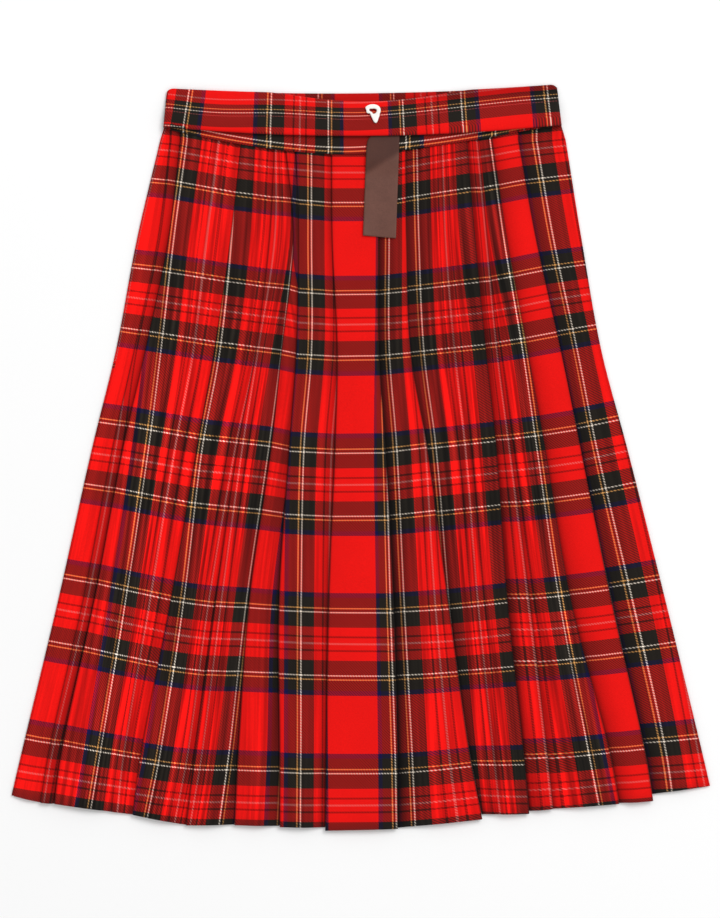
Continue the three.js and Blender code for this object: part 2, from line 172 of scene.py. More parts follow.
PANELS = (
    Panel("outer_left", (31.3, 25.0), 2.2, 0.25, (
        Stripe(RED_MIDDLE, (-176.0, -191.2, -211.1, -232.7, -260.6, -292.5, -305.1)),),
        ((30.0, 26.0), (32.0, 28.0), (28.5, 26.0), (25.5, 23.0), (14.0, 13.0)), -0.10),
    Panel("narrow_left", (25.0, 24.1), 0.2, 0.1, (
        Stripe(PALE, (-176.0, -186.5, -207.0, -220.5, -245.7, -276.8, -287.6)),),
        ((26.0, 25.0), (28.0, 26.5), (26.0, 25.0), (23.0, 22.0), (13.0, 11.5))),
    Panel("wide_left", (24.1, 14.2), 1.8, 1.0, (
        Stripe(-WHITE, (-156.2, -168.3, -179.6, -190.9, -211.1, -233.6, -244.3)),
        Stripe(PALE, (-127.8, -139.1, -150.8, -167.9, -190.0, -213.0, -220.0)),
        beside("third_left", DARK_START - 0.5)),
        ((25.0, 13.0), (26.5, 11.0), (25.0, 13.0), (21.5, 13.0), (11.5, 1.5)), -0.04),
    Panel("third_left", (14.2, 4.8), 1.5, 1.0, (
        Stripe(-WHITE, (-111.5, -116.3, -126.5, -142.7, -158.8, -179.6, -192.2)),
        Stripe(PALE, (-75.5, -80.4, -94.0, -113.3, -136.7, -155.2, -167.0))),
        ((9.5, 2.5), (10.5, 4.5), (13.0, 9.5), (13.0, 8.0), (1.5, -2.5))),
    Panel("fourth_left", (4.8, 5.3), 1.5, 0.9, (
        Stripe(PALE, (-76.3, -77.4, -92.2, -106.7, -125.1, -142.2, -152.6)),
        Stripe(DARK_START, (-64.0, -63.8, -80.2, -94.3, -113.5, -129.7, -139.1)),
        Stripe(WHITE, (-51.8, -60.6, -71.5, -83.2, -103.0, -118.4, -126.9))),
        ((2.5, 2.0), (5.5, 4.5), (9.5, 6.0), (8.0, 5.5), (-2.5, -3.5))),
    Panel("fifth_left", (5.0, 4.0), 1.2, 0.4, (
        Stripe(NEXT_BLUE, (-59.0, -62.0, -50.0, -61.6, -80.0, -84.2, -86.9)),),
        ((2.0, 1.0), (4.5, 3.0), (6.0, 2.5), (5.0, 2.5), (-3.5, -4.5))),
    Panel("sixth_left", (3.2, 2.7), 1.6, 0.3, (
        Stripe(-WHITE, (-44.1, -44.1, -44.0, -50.9, -53.3, -53.6, -54.0)),),
        ((0.0, -1.0), (2.5, 0.5), (1.5, -0.5), (2.0, 0.0), (-4.5, -7.0))),
    Panel("centre", (0.0, 1.6), 1.4, 0.0, (
        Stripe(-RED_START, (14.0, 14.0, 13.1, 12.2, 14.0, 15.8, 16.2)),
        Stripe(-YELLOW, (19.4, 18.4, 17.6, 20.2, 23.7, 28.0, 29.2))),
        ((-1.0, -0.5), (0.5, 0.0), (-0.5, 0.0), (0.0, 0.5), (-7.0, -7.0))),
    Panel("first_right", (2.3, 10.2), 1.8, 0.5, (
        Stripe(-WHITE, (25.9, 25.9, 26.1, 32.9, 39.3, 46.4, 49.1)),
        Stripe(-DARK_START, (37.6, 37.6, 38.2, 45.6, 52.8, 60.4, 64.4)),
        Stripe(DARK_START, (63.6, 63.6, 63.9, 71.4, 81.0, 98.0, 110.0))),
        ((-1.0, 6.5), (0.5, 3.0), (0.5, 5.5), (0.5, 2.5), (-7.0, -2.5))),
    Panel("second_right", (14.6, 15.1), 1.6, 1.0, (
        Stripe(-DARK_START, (62.6, 64.4, 68.9, 80.1, 91.4, 104.4, 111.2)),
        Stripe(DARK_START, (84.6, 88.7, 100.4, 109.0, 119.6, 134.6, 141.4)),
        beside("second_right", WHITE - 1.6, 0.4)),
        ((8.0, 7.0), (3.5, 9.0), (4.0, 10.5), (3.5, 10.5), (-2.0, 7.0)), 0.05),
    Panel("narrow_right", (17.4, 19.4), 0.6, 0.5, (
        beside("second_right", -DARK_START + 0.5),
        beside("third_right", PALE, -1.0)),
        ((12.5, 14.0), (13.5, 13.5), (12.0, 12.5), (11.0, 12.0), (7.0, 6.5))),
    Panel("third_right", (19.4, 24.1), 1.6, 1.0, (
        beside("third_right", PALE, -3.0),
        Stripe(DARK_START, (106.8, 117.0, 136.0, 148.8, 167.5, 191.3, 202.6)),
        Stripe(WHITE, (116.5, 129.2, 145.8, 158.8, 178.7, 204.8, 217.3))),
        ((12.5, 18.5), (12.5, 16.0), (12.5, 16.0), (12.5, 16.5), (7.0, 9.0))),
    Panel("plain_right", (24.6, 26.6), 1.2, 0.0, (
        beside("fourth_right", RED_START + 3.0),),
        ((19.0, 21.5), (16.5, 21.0), (16.0, 20.5), (16.5, 22.0), (9.0, 13.0))),
    Panel("outer_right", (32.7, 39.9), 2.2, 0.3, (
        beside("fifth_right", -RED_START + 0.5),
        Stripe(-WHITE, (158.8, 174.2, 195.4, 213.2, 245.0, 274.9, 283.9)),
        Stripe(PALE, (188.6, 204.8, 224.6, 247.1, 277.7, 303.8, 316.4))),
        ((27.5, 31.0), (23.0, 30.5), (22.0, 30.5), (22.5, 28.0), (13.0, 17.5))),
)

CREASES = (
    SoftCrease("wide_left", (-169.7, -175.1, -180.5, -183.2, -195.8, -221.8, -230.0), -1.3, 4.5, 250),
    SoftCrease("second_right", (73.4, 77.9, 85.0, 90.9, 104.0, 118.4, 124.7), -1.2, 3.0, 120),
)


@dataclass(frozen=True)
class Lay:
    """Heights and lengths that the laid skirt's pieces share, in millimetres."""

    waist_y: float = 285.7
    top_y: float = 301.9
    lowest_y: float = -336.1
    bottom_layer: float = 2.0
    return_layer: float = 2.95
    top_layer: float = 3.9
    lift_at_hem: float = 1.3
    flat_below_waist: float = 20.0
    front_cloth: float = 0.8
    side_slope: float = 0.30

    def side(self, index: int, depth: np.ndarray) -> np.ndarray:
        """Finds how far across a fold or side edge lies. Above the waist the two sides
        slope in, so that the waistband covers their corners.

        Args:
            index: The edge's place in EDGES.
            depth: Distances below the waist.

        Returns:
            The edge's place across at each depth.
        """
        across = curve_at(depth, DEPTHS, EDGES[index].across)
        if EDGES[index].lap is Lap.NONE:
            across = across - np.sign(across) * self.side_slope * np.maximum(-depth, 0.0)
        return across

    def looseness(self, y: np.ndarray) -> np.ndarray:
        """Returns 0 at the waist and 1 at the hem, on a smooth step."""
        reach = self.waist_y - self.lowest_y - self.flat_below_waist
        return smooth((self.waist_y - y - self.flat_below_waist) / reach)


def smooth(share: np.ndarray) -> np.ndarray:
    """Returns the smooth step 3s^2 - 2s^3 of shares held between 0 and 1."""
    s = np.clip(share, 0.0, 1.0)
    return s * s * (3.0 - 2.0 * s)


def curve_at(at: np.ndarray, places: tuple[float, ...], values: tuple[float, ...]) -> np.ndarray:
    """Reads a table column on a smooth curve through its entries.

    Each stretch is a cubic whose slope at an entry is that of the chord between the
    entries beside it. Before the table the value is held, and past it the curve goes
    on straight.

    Args:
        at: Where to read the column.
        places: The table's places, rising.
        values: The column's value at each place.

    Returns:
        The column's values, in the shape of at.
    """
    p = np.asarray(places, dtype=float)
    v = np.asarray(values, dtype=float)
    before = np.concatenate(([0], np.arange(len(p) - 1)))
    after = np.concatenate((np.arange(1, len(p)), [len(p) - 1]))
    slope = (v[after] - v[before]) / (p[after] - p[before])
    held = np.clip(at, p[0], p[-1])
    i = np.clip(np.searchsorted(p, held, side="right") - 1, 0, len(p) - 2)
    step = p[i + 1] - p[i]
    t = (held - p[i]) / step
    rise = t * t * (3.0 - 2.0 * t)
    curved = (
        v[i] * (1.0 - rise)
        + v[i + 1] * rise
        + slope[i] * t * (1.0 - t) ** 2 * step
        + slope[i + 1] * t * t * (t - 1.0) * step
    )
    return curved + np.maximum(at - p[-1], 0.0) * slope[-1]


def mix(a: np.ndarray, b: np.ndarray, share: np.ndarray) -> np.ndarray:
    """Returns the value a share of the way from a to b."""
    return a + (b - a) * share


def closer_at_ends(count: int) -> np.ndarray:
    """Returns shares from 0 to 1 that lie closer together at both ends: an even spread
    mixed half and half with the sine of an even angle."""
    even = np.linspace(-1.0, 1.0, count)
    return (0.5 * even + 0.5 * np.sin(even * np.pi / 2) + 1.0) / 2.0


def height_along(x: np.ndarray, y: np.ndarray) -> np.ndarray:
    """Measures how far above the hem a grid's points lie along their own columns. It is
    the running total of the column's steps, so the check follows slanting columns.

    Args:
        x: The grid's places across.
        y: The grid's places up the page, falling down each column.

    Returns:
        The distances, which are 0 in the last row.
    """
    step = np.hypot(np.diff(x, axis=0), np.diff(y, axis=0))
    along = np.cumsum(step[::-1], axis=0)[::-1]
    return np.vstack((along, np.zeros((1, x.shape[1]))))


@dataclass(frozen=True)
class ClothGrid:
    """A grid of cloth points, rows running towards -Y and columns towards +X, with the
    warp and weft places that the tartan is read from, all in millimetres. shade is the
    painted shade, such as how dark a crevice beside a fold is, and painted light where
    it is below 0. The gather value is how strongly the painted light and shade of fine
    gathers show. A value that doesn't change along a row or a column may be given once
    for it."""

    x: np.ndarray
    y: np.ndarray
    z: np.ndarray | float
    warp: np.ndarray
    weft: np.ndarray
    shade: np.ndarray | float = 0.0
    gather: np.ndarray | float = 0.0

    def mirrored(self) -> "ClothGrid":
        """Returns the grid with its columns in the other order."""
        return ClothGrid(*(column[:, ::-1] for column in self.columns()))

    def columns(self) -> tuple[np.ndarray, ...]:
        """Returns the grid's values, each spread over all its points."""
        values = (self.x, self.y, self.z, self.warp, self.weft, self.shade, self.gather)
        return tuple(np.broadcast_arrays(*values))

    def build(self, name: str, wall: float, cloth: bpy.types.Material) -> bpy.types.Object:
        """Makes the grid a mesh of quads facing up, with a UV map for the weave, and gives
        it an even wall.

        Args:
            name: The piece's name.
            wall: The wall's thickness in millimetres.
            cloth: The piece's material.

        Returns:
            The new object, linked to the scene.
        """
        x, y, z, warp, weft, shade, gather = self.columns()
        points = np.stack((x, y, z), axis=-1).reshape(-1, 3) * MM
        piece = mesh_piece(name, points, grid_quads(*x.shape), cloth)
        corner = np.empty(len(piece.data.loops), dtype=np.int32)
        piece.data.loops.foreach_get("vertex_index", corner)
        places = np.stack((warp, weft), axis=-1).reshape(-1, 2) * MM
        weave = piece.data.uv_layers.new(name="weave")
        weave.data.foreach_set("uv", places[corner].astype(np.float32).ravel())
        for label, values in (("fold_shade", shade), ("gather", gather)):
            layer = piece.data.attributes.new(label, "FLOAT", "POINT")
            layer.data.foreach_set("value", values.astype(np.float32).ravel())
        solid = piece.modifiers.new("wall", "SOLIDIFY")
        solid.thickness = wall * MM
        solid.offset = 0.0
        return piece


def grid_quads(rows: int, columns: int) -> np.ndarray:
    """Joins each point of a grid to its neighbours in the next row and column.

    Args:
        rows: How many rows of points the grid has.
        columns: How many columns.

    Returns:
        The quads, facing up, one row of four indices each.
    """
    at = np.arange(rows * columns).reshape(rows, columns)
    quads = np.stack((at[:-1, :-1], at[1:, :-1], at[1:, 1:], at[:-1, 1:]), axis=-1)
    return quads.reshape(-1, 4)


def mesh_piece(
    name: str, points: np.ndarray, quads: np.ndarray, material: bpy.types.Material
) -> bpy.types.Object:
    """Makes a smooth-shaded mesh object from points in metres and quads of indices.

    Args:
        name: The piece's name.
        points: The points, one row each.
        quads: The quads, one row of four indices each.
        material: The piece's material.

    Returns:
        The new object, linked to the scene.
    """
    mesh = bpy.data.meshes.new(name)
    mesh.from_pydata(points.tolist(), [], quads.tolist())
    mesh.polygons.foreach_set("use_smooth", np.ones(len(quads), dtype=bool))
    mesh.materials.append(material)
    mesh.update()
    piece = bpy.data.objects.new(name, mesh)
    bpy.context.scene.collection.objects.link(piece)
    return piece


# What an input of a node can be given: another node's output, or a plain value
Feed = bpy.types.NodeSocket | float | tuple[float, ...]


class NodeKit:
    """A short way to place and join the nodes of one node tree."""

    def __init__(self, tree: bpy.types.NodeTree) -> None:
        """Keeps the tree that the nodes go into."""
        self.tree = tree

    def feed(self, socket: bpy.types.NodeSocket, value: Feed) -> None:
        """Links an input to another node's output, or sets it to a plain value.

        Args:
            socket: The input.
            value: The output or the value.
        """
        if isinstance(value, bpy.types.NodeSocket):
            self.tree.links.new(value, socket)
        else:
            socket.default_value = value

    def add(self, kind: str, settings: dict | None = None, **inputs: Feed) -> bpy.types.Node:
        """Adds a node.

        Args:
            kind: The node's type name.
            settings: The node's own properties.
            **inputs: What each input is given, by its name or as in0, in1.

        Returns:
            The new node.
        """
        node = self.tree.nodes.new(kind)
        for key, value in (settings or {}).items():
            setattr(node, key, value)
        for key, value in inputs.items():
            numbered = key.startswith("in") and key[2:].isdigit()
            self.feed(node.inputs[int(key[2:]) if numbered else key], value)
        return node

    def math(self, operation: str, *values: Feed) -> bpy.types.NodeSocket:
        """Adds a Math node and returns its result."""
        inputs = {f"in{i}": value for i, value in enumerate(values)}
        return self.add("ShaderNodeMath", {"operation": operation}, **inputs).outputs[0]

    def blend(self, share: Feed, a: Feed, b: Feed, mode: str = "MIX") -> bpy.types.NodeSocket:
        """Adds a colour Mix node and returns its colour."""
        settings = {"data_type": "RGBA", "blend_type": mode}
        return self.add("ShaderNodeMix", settings, in0=share, in6=a, in7=b).outputs[2]

    def noise(self, place: bpy.types.NodeSocket, scale: float, detail: float = 2.0) -> bpy.types.NodeSocket:
        """Adds a Noise texture and returns its value."""
        return self.add("ShaderNodeTexNoise", Vector=place, Scale=scale, Detail=detail).outputs[0]

    def to_light(self, colour: bpy.types.NodeSocket) -> bpy.types.NodeSocket:
        """Turns a colour as seen into light by a power of 2.2, and returns it."""
        return self.add("ShaderNodeGamma", Color=colour, Gamma=2.2).outputs[0]


class GroupKit(NodeKit):
    """A new shader node group. given holds what the group is given, and gives what it
    puts out, by name."""

    def __init__(self, name: str, inputs: dict[str, str], outputs: dict[str, str]) -> None:
        """Makes the group and its sockets.

        Args:
            name: The group's name.
            inputs: Float, Vector or Color for each input, by name.
            outputs: The same for each output.
        """
        super().__init__(bpy.data.node_groups.new(name, "ShaderNodeTree"))
        for way, sockets in (("INPUT", inputs), ("OUTPUT", outputs)):
            for socket, kind in sockets.items():
                self.tree.interface.new_socket(socket, in_out=way, socket_type=f"NodeSocket{kind}")
        self.given = self.add("NodeGroupInput").outputs
        self.gives = self.add("NodeGroupOutput").inputs


class FinishKit(NodeKit):
    """A new material with its Principled shader."""

    def __init__(self, name: str, values: dict[str, Feed]) -> None:
        """Makes the material.

        Args:
            name: The material's name.
            values: Plain values for the shader's inputs, by their names.
        """
        self.material = bpy.data.materials.new(name)
        self.material.use_nodes = True
        super().__init__(self.material.node_tree)
        self.shader = self.tree.nodes["Principled BSDF"]
        for key, value in values.items():
            self.feed(self.shader.inputs[key], value)

    def dress(self, colour: bpy.types.NodeSocket, relief: bpy.types.Node | None = None) -> bpy.types.Material:
        """Gives the shader its colour and its relief.

        Args:
            colour: The base colour.
            relief: A Bump node, where the surface has one.

        Returns:
            The finished material.
        """
        self.feed(self.shader.inputs["Base Color"], colour)
        if relief:
            self.feed(self.shader.inputs["Normal"], relief.outputs[0])
        return self.material


@dataclass(frozen=True)
class Band:
    """A coloured stretch of a sett, and how far from the sett's first place it starts."""

    start: float
    colour: tuple[float, float, float]


# Thread colours, as seen rather than as light, so that crossings mix as the eye does
RED_THREAD = (0.890, 0.080, 0.066)
DARK_THREAD = (0.132, 0.118, 0.102)
BLUE_THREAD = (0.090, 0.080, 0.250)
WHITE_THREAD = (0.970, 0.910, 0.840)
YELLOW_THREAD = (0.900, 0.640, 0.360)
PALE_THREAD = (0.910, 0.430, 0.420)
# The thin dark line is one dark thread among red ones
THIN_THREAD = (0.400, 0.050, 0.045)


@dataclass(frozen=True)
class Sett:
    """The order of colours in one direction of the tartan, mirrored about its first and
    its last place. On the skirt these are the middles of the pale line and of the wide
    red, and on the waistband's weft the first is its lower edge."""

    name: str
    half_repeat: float
    bands: tuple[Band, ...]

    def group(self) -> bpy.types.NodeTree:
        """Builds the node group that gives the thread's colour at a place, once.

        The place is wrapped into one repeat and mirrored, which leaves its distance from
        the nearest first place, and a stepped ramp holds the colour of each distance.

        Returns:
            The node group.
        """
        known = bpy.data.node_groups.get(self.name)
        if known:
            return known
        kit = GroupKit(self.name, {"Place": "Float"}, {"Colour": "Color"})
        half = self.half_repeat * MM
        mirrored = kit.math("PINGPONG", kit.given["Place"], half)
        ramp = kit.add("ShaderNodeValToRGB", Fac=kit.math("DIVIDE", mirrored, half))
        ramp.color_ramp.interpolation = "CONSTANT"
        stops = ramp.color_ramp.elements
        stops.remove(stops[1])
        stops[0].color = (*self.bands[0].colour, 1.0)
        for band in self.bands[1:]:
            stops.new(band.start / self.half_repeat).color = (*band.colour, 1.0)
        kit.feed(kit.gives["Colour"], ramp.outputs["Color"])
        return kit.tree


WARP_SETT = Sett("warp sett", WARP_REPEAT / 2, (
    Band(0.0, PALE_THREAD), Band(0.6, RED_THREAD), Band(4.5, THIN_THREAD), Band(6.1, RED_THREAD),
    Band(DARK_START, DARK_THREAD), Band(24.1, WHITE_THREAD), Band(25.25, DARK_THREAD),
    Band(27.25, YELLOW_THREAD), Band(28.35, DARK_THREAD), Band(36.4, BLUE_THREAD),
    Band(RED_START, RED_THREAD),
))

WEFT_SETT = Sett("weft sett", WEFT_REPEAT / 2, (
    Band(0.0, PALE_THREAD), Band(0.6, RED_THREAD), Band(5.3, THIN_THREAD), Band(6.9, RED_THREAD),
    Band(14.8, DARK_THREAD), Band(27.8, WHITE_THREAD), Band(28.95, DARK_THREAD),
    Band(31.35, YELLOW_THREAD), Band(32.45, DARK_THREAD), Band(41.9, BLUE_THREAD), Band(45.9, RED_THREAD),
))

# The waistband's weft up from its lower edge. Above the two light lines it goes back to
# red with a pale line, where the skirt's has more dark.
BAND_WHITE = 17.6
BAND_SETT = Sett("waistband sett", 60.0, (
    Band(0.0, RED_THREAD), Band(4.4, DARK_THREAD), Band(14.3, PALE_THREAD), Band(14.7, DARK_THREAD),
    Band(17.2, WHITE_THREAD), Band(18.0, DARK_THREAD), Band(20.45, YELLOW_THREAD),
    Band(21.2, DARK_THREAD), Band(25.4, RED_THREAD), Band(29.4, PALE_THREAD), Band(30.5, RED_THREAD),
))


@dataclass(frozen=True)
class TartanFinish:
    """Wool twill in the tartan: warp and weft colours that show by turns along slanting
    ridges, with uneven dye, a little fuzz, painted shade beside folds and long painted
    streaks of light and shade from fine gathers. The turns swing further along the light
    lines, whose threads are thicker and whose green is above line_green."""

    name: str = "tartan cloth"
    weft_sett: Sett = WEFT_SETT
    twill: float = 2.5
    twill_relief: float = 0.4
    swing: float = 0.22
    line_swing: float = 0.34
    line_green: float = 0.3
    fuzz_scale: float = 900.0
    fuzz_strength: float = 0.16
    dye_scale: float = 22.0
    dye_strength: float = 0.10
    darkest_thread: float = 0.87
    streak_width: float = 4.2
    streak_length: float = 190.0
    streak_strength: float = 2.2
    streak_middle: float = 0.52
    brightness: float = 1.0
    roughness: float = 0.86
    bump: float = 0.00012

    def weave_group(self) -> bpy.types.NodeTree:
        """Builds the node group for the weave's colour and height, once for each sett.

        The share of warp on top is half, plus or minus a swing that turns with the sum
        of the warp and weft places, so the light lines look dashed. Colours mix as seen,
        they are streaked by painted light and shade of fine gathers and darkened by
        painted fold shade, and the result is turned into light.

        Returns:
            The node group.
        """
        name = f"twill weave, {self.weft_sett.name}"
        known = bpy.data.node_groups.get(name)
        if known:
            return known
        numbers = dict.fromkeys(("Warp", "Weft", "Brightness", "Shade", "Gather"), "Float")
        kit = GroupKit(name, {**numbers, "Position": "Vector"}, {"Colour": "Color", "Height": "Float"})
        warp, weft, where = (kit.given[key] for key in ("Warp", "Weft", "Position"))
        warp_colour, weft_colour = (
            kit.add("ShaderNodeGroup", {"node_tree": sett.group()}, Place=place).outputs[0]
            for sett, place in ((WARP_SETT, warp), (self.weft_sett, weft))
        )
        turn = kit.math("MULTIPLY", kit.math("ADD", warp, weft), 2.0 * np.pi / (self.twill * MM))
        wave = kit.math("SINE", turn)
        greens = [
            kit.add("ShaderNodeSeparateColor", Color=colour).outputs[1]
            for colour in (warp_colour, weft_colour)
        ]
        on_line = kit.math("GREATER_THAN", kit.math("MAXIMUM", *greens), self.line_green)
        swing = kit.math("MULTIPLY_ADD", on_line, self.line_swing - self.swing, self.swing)
        over = kit.math("MULTIPLY_ADD", wave, swing, 0.5)
        woven = kit.blend(over, weft_colour, warp_colour)
        fuzz = kit.noise(where, self.fuzz_scale, 3.0)
        dye = kit.math("MULTIPLY", kit.noise(where, self.dye_scale, 3.0), self.dye_strength)
        uneven = kit.math("MULTIPLY_ADD", fuzz, self.fuzz_strength, dye)
        lit = kit.math("MULTIPLY", kit.math("ADD", uneven, self.darkest_thread), kit.given["Brightness"])
        along = kit.add(
            "ShaderNodeCombineXYZ",
            in0=kit.math("DIVIDE", warp, self.streak_width * MM),
            in1=kit.math("DIVIDE", weft, self.streak_length * MM),
        ).outputs[0]
        # Painted light and shade of fine gathers: long streaks along the warp that lighten and darken the
        # cloth
        streak = kit.math("SUBTRACT", kit.noise(along, 1.0), self.streak_middle)
        gather_light_and_shade = kit.math("MULTIPLY", streak, kit.given["Gather"])
        lit = kit.math("MULTIPLY", lit, kit.math("MULTIPLY_ADD", gather_light_and_shade, self.streak_strength, 1.0))
        # Painted shade beside folds: the cloth is darkened by the mesh's fold_shade value
        lit = kit.math("MULTIPLY", lit, kit.math("SUBTRACT", 1.0, kit.given["Shade"]))
        grey = kit.add("ShaderNodeCombineColor", in0=lit, in1=lit, in2=lit).outputs[0]
        kit.feed(kit.gives["Colour"], kit.to_light(kit.blend(1.0, woven, grey, "MULTIPLY")))
        kit.feed(kit.gives["Height"], kit.math("MULTIPLY_ADD", wave, self.twill_relief, fuzz))
        return kit.tree

    def build(self) -> bpy.types.Material:
        """Makes the material, which reads the weave's places from the UV map.

        Returns:
            The material.
        """
        kit = FinishKit(self.name, {
            "Specular IOR Level": 0.12, "Roughness": self.roughness,
            "Sheen Weight": 0.05, "Sheen Roughness": 0.5,
        })
        places = kit.add("ShaderNodeUVMap", {"uv_map": "weave"})
        split = kit.add("ShaderNodeSeparateXYZ", Vector=places.outputs[0])
        # The weave is darkened by painted fold shade and streaked by painted light and shade of gathers, both
        # read from the mesh's values
        weave = kit.add(
            "ShaderNodeGroup", {"node_tree": self.weave_group()},
            Warp=split.outputs[0], Weft=split.outputs[1], Brightness=self.brightness,
            Position=kit.add("ShaderNodeTexCoord").outputs["Object"],
            Shade=kit.add("ShaderNodeAttribute", {"attribute_name": "fold_shade"}).outputs["Fac"],
            Gather=kit.add("ShaderNodeAttribute", {"attribute_name": "gather"}).outputs["Fac"],
        )
        relief = kit.add("ShaderNodeBump", Strength=0.6, Distance=self.bump, Height=weave.outputs["Height"])
        return kit.dress(weave.outputs["Colour"], relief)


@dataclass(frozen=True)
class SlowWave:
    """A wave of laid cloth: its height, the lengths across and up the page over which it
    turns by one radian, and the turn that it starts with."""

    height: float
    across: float
    up: float
    start: float = 0.0

    def at(self, x: np.ndarray, y: np.ndarray) -> np.ndarray:
        """Returns the wave's height at places."""
        return np.sin(x / self.across + y / self.up + self.start) * self.height


SKIRT_WAVES = (SlowWave(0.22, 9.0, 47.0), SlowWave(0.30, 17.0, -83.0, 1.3))


@dataclass
class PleatedFront:
    """The skirt's front: one width of cloth, knife-pleated away from the centre panel."""

    lay: Lay
    top_rows: int = 20
    rows: int = 84
    top_share: float = 0.075
    column_step: float = 2.4
    closer_share: float = 0.7
    deepest_pleat: float = 20.0
    shallowest_pleat: float = 2.0
    pleat_share: float = 0.42
    pleat_less: float = 1.5
    level_past_pleat: float = 2.0
    shortest_sink: float = 3.0
    arch_power: float = 1.3
    gather_shading_power: float = 0.3
    waves_at_waist: float = 0.5
    crease_grows_over: float = 150.0
    edge_clear: float = 0.8
    hidden_hem_shorter: float = 0.8
    side_roll: float = 2.4
    side_drop: float = 0.7
    wide_shadow: float = 0.22
    wide_spread: float = 9.0
    own_shadow: float = 0.15
    own_spread: float = 1.0
    turned_shadow: float = 0.3
    turned_spread: float = 0.5
    hidden_shadow: float = 0.30
    hidden_fold_share: float = 0.50
    shadow_at_waist: float = 0.55
    lightest: float = -0.2
    darkest: float = 0.92
    hidden_gather_shading: float = 0.2
    side_shade: float = 0.1
    side_line_ends: float = 205.0
    side_line_place: float = -2.2

    def down(self) -> np.ndarray:
        """Returns the rows' shares of the way from the top to the hem. They are closer
        together near the top, where the yoke's edge crosses the folds."""
        upper = np.linspace(0.0, self.top_share, self.top_rows, endpoint=False)
        lower = np.linspace(self.top_share, 1.0, self.rows - self.top_rows)
        return np.concatenate((upper, lower))[:, None]

    def across(self, k: int) -> np.ndarray:
        """Spreads a panel's columns: about one every column_step at the hem and six more,
        most of them near its ends, by a cosine mixed with an even spread.

        Args:
            k: The panel's place in PANELS.

        Returns:
            The columns' shares of the way across the panel.
        """
        width = EDGES[k + 1].across[-1] - EDGES[k].across[-1]
        even = np.linspace(0.0, 1.0, int(np.clip(width / self.column_step + 6, 10, 30)))
        return mix(even, (1.0 - np.cos(np.pi * even)) / 2.0, self.closer_share)[None, :]

    def edge(self, index: int, hem: float) -> tuple[np.ndarray, np.ndarray]:
        """Returns an edge's x and y down the rows, for a hem at that height. y runs
        straight from the top to the hem, and x is read from the fold table at each y."""
        y = mix(self.lay.top_y, self.lay.lowest_y + hem, self.down())
        return self.lay.side(index, self.lay.waist_y - y), y

    def warp_place(self, panel: Panel, x: np.ndarray, y: np.ndarray) -> np.ndarray:
        """Reads the warp's place on a panel.

        Beside its stripes the cloth runs at its true scale, and between two stripes it
        is spread evenly, as the rolling of the cloth at a fold shows it.

        Args:
            panel: The panel.
            x: Places across the skirt.
            y: Places up the page.

        Returns:
            The places in the warp's sett.
        """
        depth = self.lay.waist_y - y
        lines = [curve_at(depth, DEPTHS, stripe.across) for stripe in panel.stripes]
        places = [stripe.place for stripe in panel.stripes]
        place = places[0] + (x - lines[0])
        for x1, x2, p1, p2 in zip(lines, lines[1:], places, places[1:]):
            between = p1 + (x - x1) * (p2 - p1) / np.maximum(x2 - x1, 1.0)
            place = np.where(x > x1, between, place)
            place = np.where(x > x2, p2 + (x - x2), place)
        return place

    def weft_place(self, k: int, x: np.ndarray, y: np.ndarray) -> np.ndarray:
        """Reads the weft's place on a panel: evenly spread between the pale lines, which
        run straight from the panel's left end to its right end.

        Args:
            k: The panel's place in PANELS.
            x: Places across the skirt.
            y: Places up the page.

        Returns:
            The places in the weft's sett.
        """
        depth = self.lay.waist_y - y
        left, right = (curve_at(depth, DEPTHS, EDGES[i].across) for i in (k, k + 1))
        share = np.clip((x - left) / (right - left), 0.0, 1.0)
        lines = [level + mix(*rise, share) for level, rise in zip(PALE_LEVELS, PANELS[k].rises)]
        last = len(lines) - 2
        place = np.zeros_like(share)
        for i, (low, high) in enumerate(zip(lines, lines[1:])):
            passed = (y - low) / (high - low)
            passed = np.maximum(passed, 0.0) if i > 0 else passed
            passed = np.minimum(passed, 1.0) if i < last else passed
            place = place + passed * WEFT_REPEAT
        return place

    def painted_panel_shade(
        self, k: int, x: np.ndarray, ends: tuple[np.ndarray, np.ndarray], loose: np.ndarray
    ) -> np.ndarray:
        """Works out the painted light and shade on a panel: the painted shade laid over the
        whole panel, and a painted shadow beside its folds.

        Under a fold that covers it the painted shadow is the fold's own, with a wide soft
        one round it, and both grow towards the hem. At a fold of its own it's slight. Each
        fades away from its fold by a power of e.

        Args:
            k: The panel's place in PANELS.
            x: Places across the skirt.
            ends: The panel's left and right end down the rows.
            loose: How loosely the cloth lies there.

        Returns:
            The darkness, in shares of the cloth's light.
        """
        dark = np.full_like(x, PANELS[k].tone)
        beside = ((EDGES[k], x - ends[0], Lap.LEFT), (EDGES[k + 1], ends[1] - x, Lap.RIGHT))
        for edge, off, covered in beside:
            off = np.maximum(off, 0.0)
            if edge.lap is covered:
                close = edge.shadow * np.exp(-off / edge.spread)
                wide = self.wide_shadow * edge.shadow * np.exp(-off / self.wide_spread)
                dark = dark + (close + wide) * mix(self.shadow_at_waist, 1.0, loose)
            elif edge.lap is not Lap.NONE:
                dark = dark + self.own_shadow * np.exp(-off / self.own_spread)
        return np.clip(dark, self.lightest, self.darkest)

    def pleat_depth(self, upper: int, lower: int) -> np.ndarray:
        """Returns how deep a pleat is down the rows: a share of the panel over it, less a
        fixed length, within its limits."""
        ends = np.abs(self.edge(upper, 0.0)[0] - self.edge(lower, 0.0)[0])
        return np.clip(ends * self.pleat_share - self.pleat_less, self.shallowest_pleat, self.deepest_pleat)

    def top_height(self, y: np.ndarray) -> np.ndarray:
        """Returns the height of the middle of the pleats' upper layer."""
        return self.lay.top_layer + self.lay.lift_at_hem * self.lay.looseness(y)

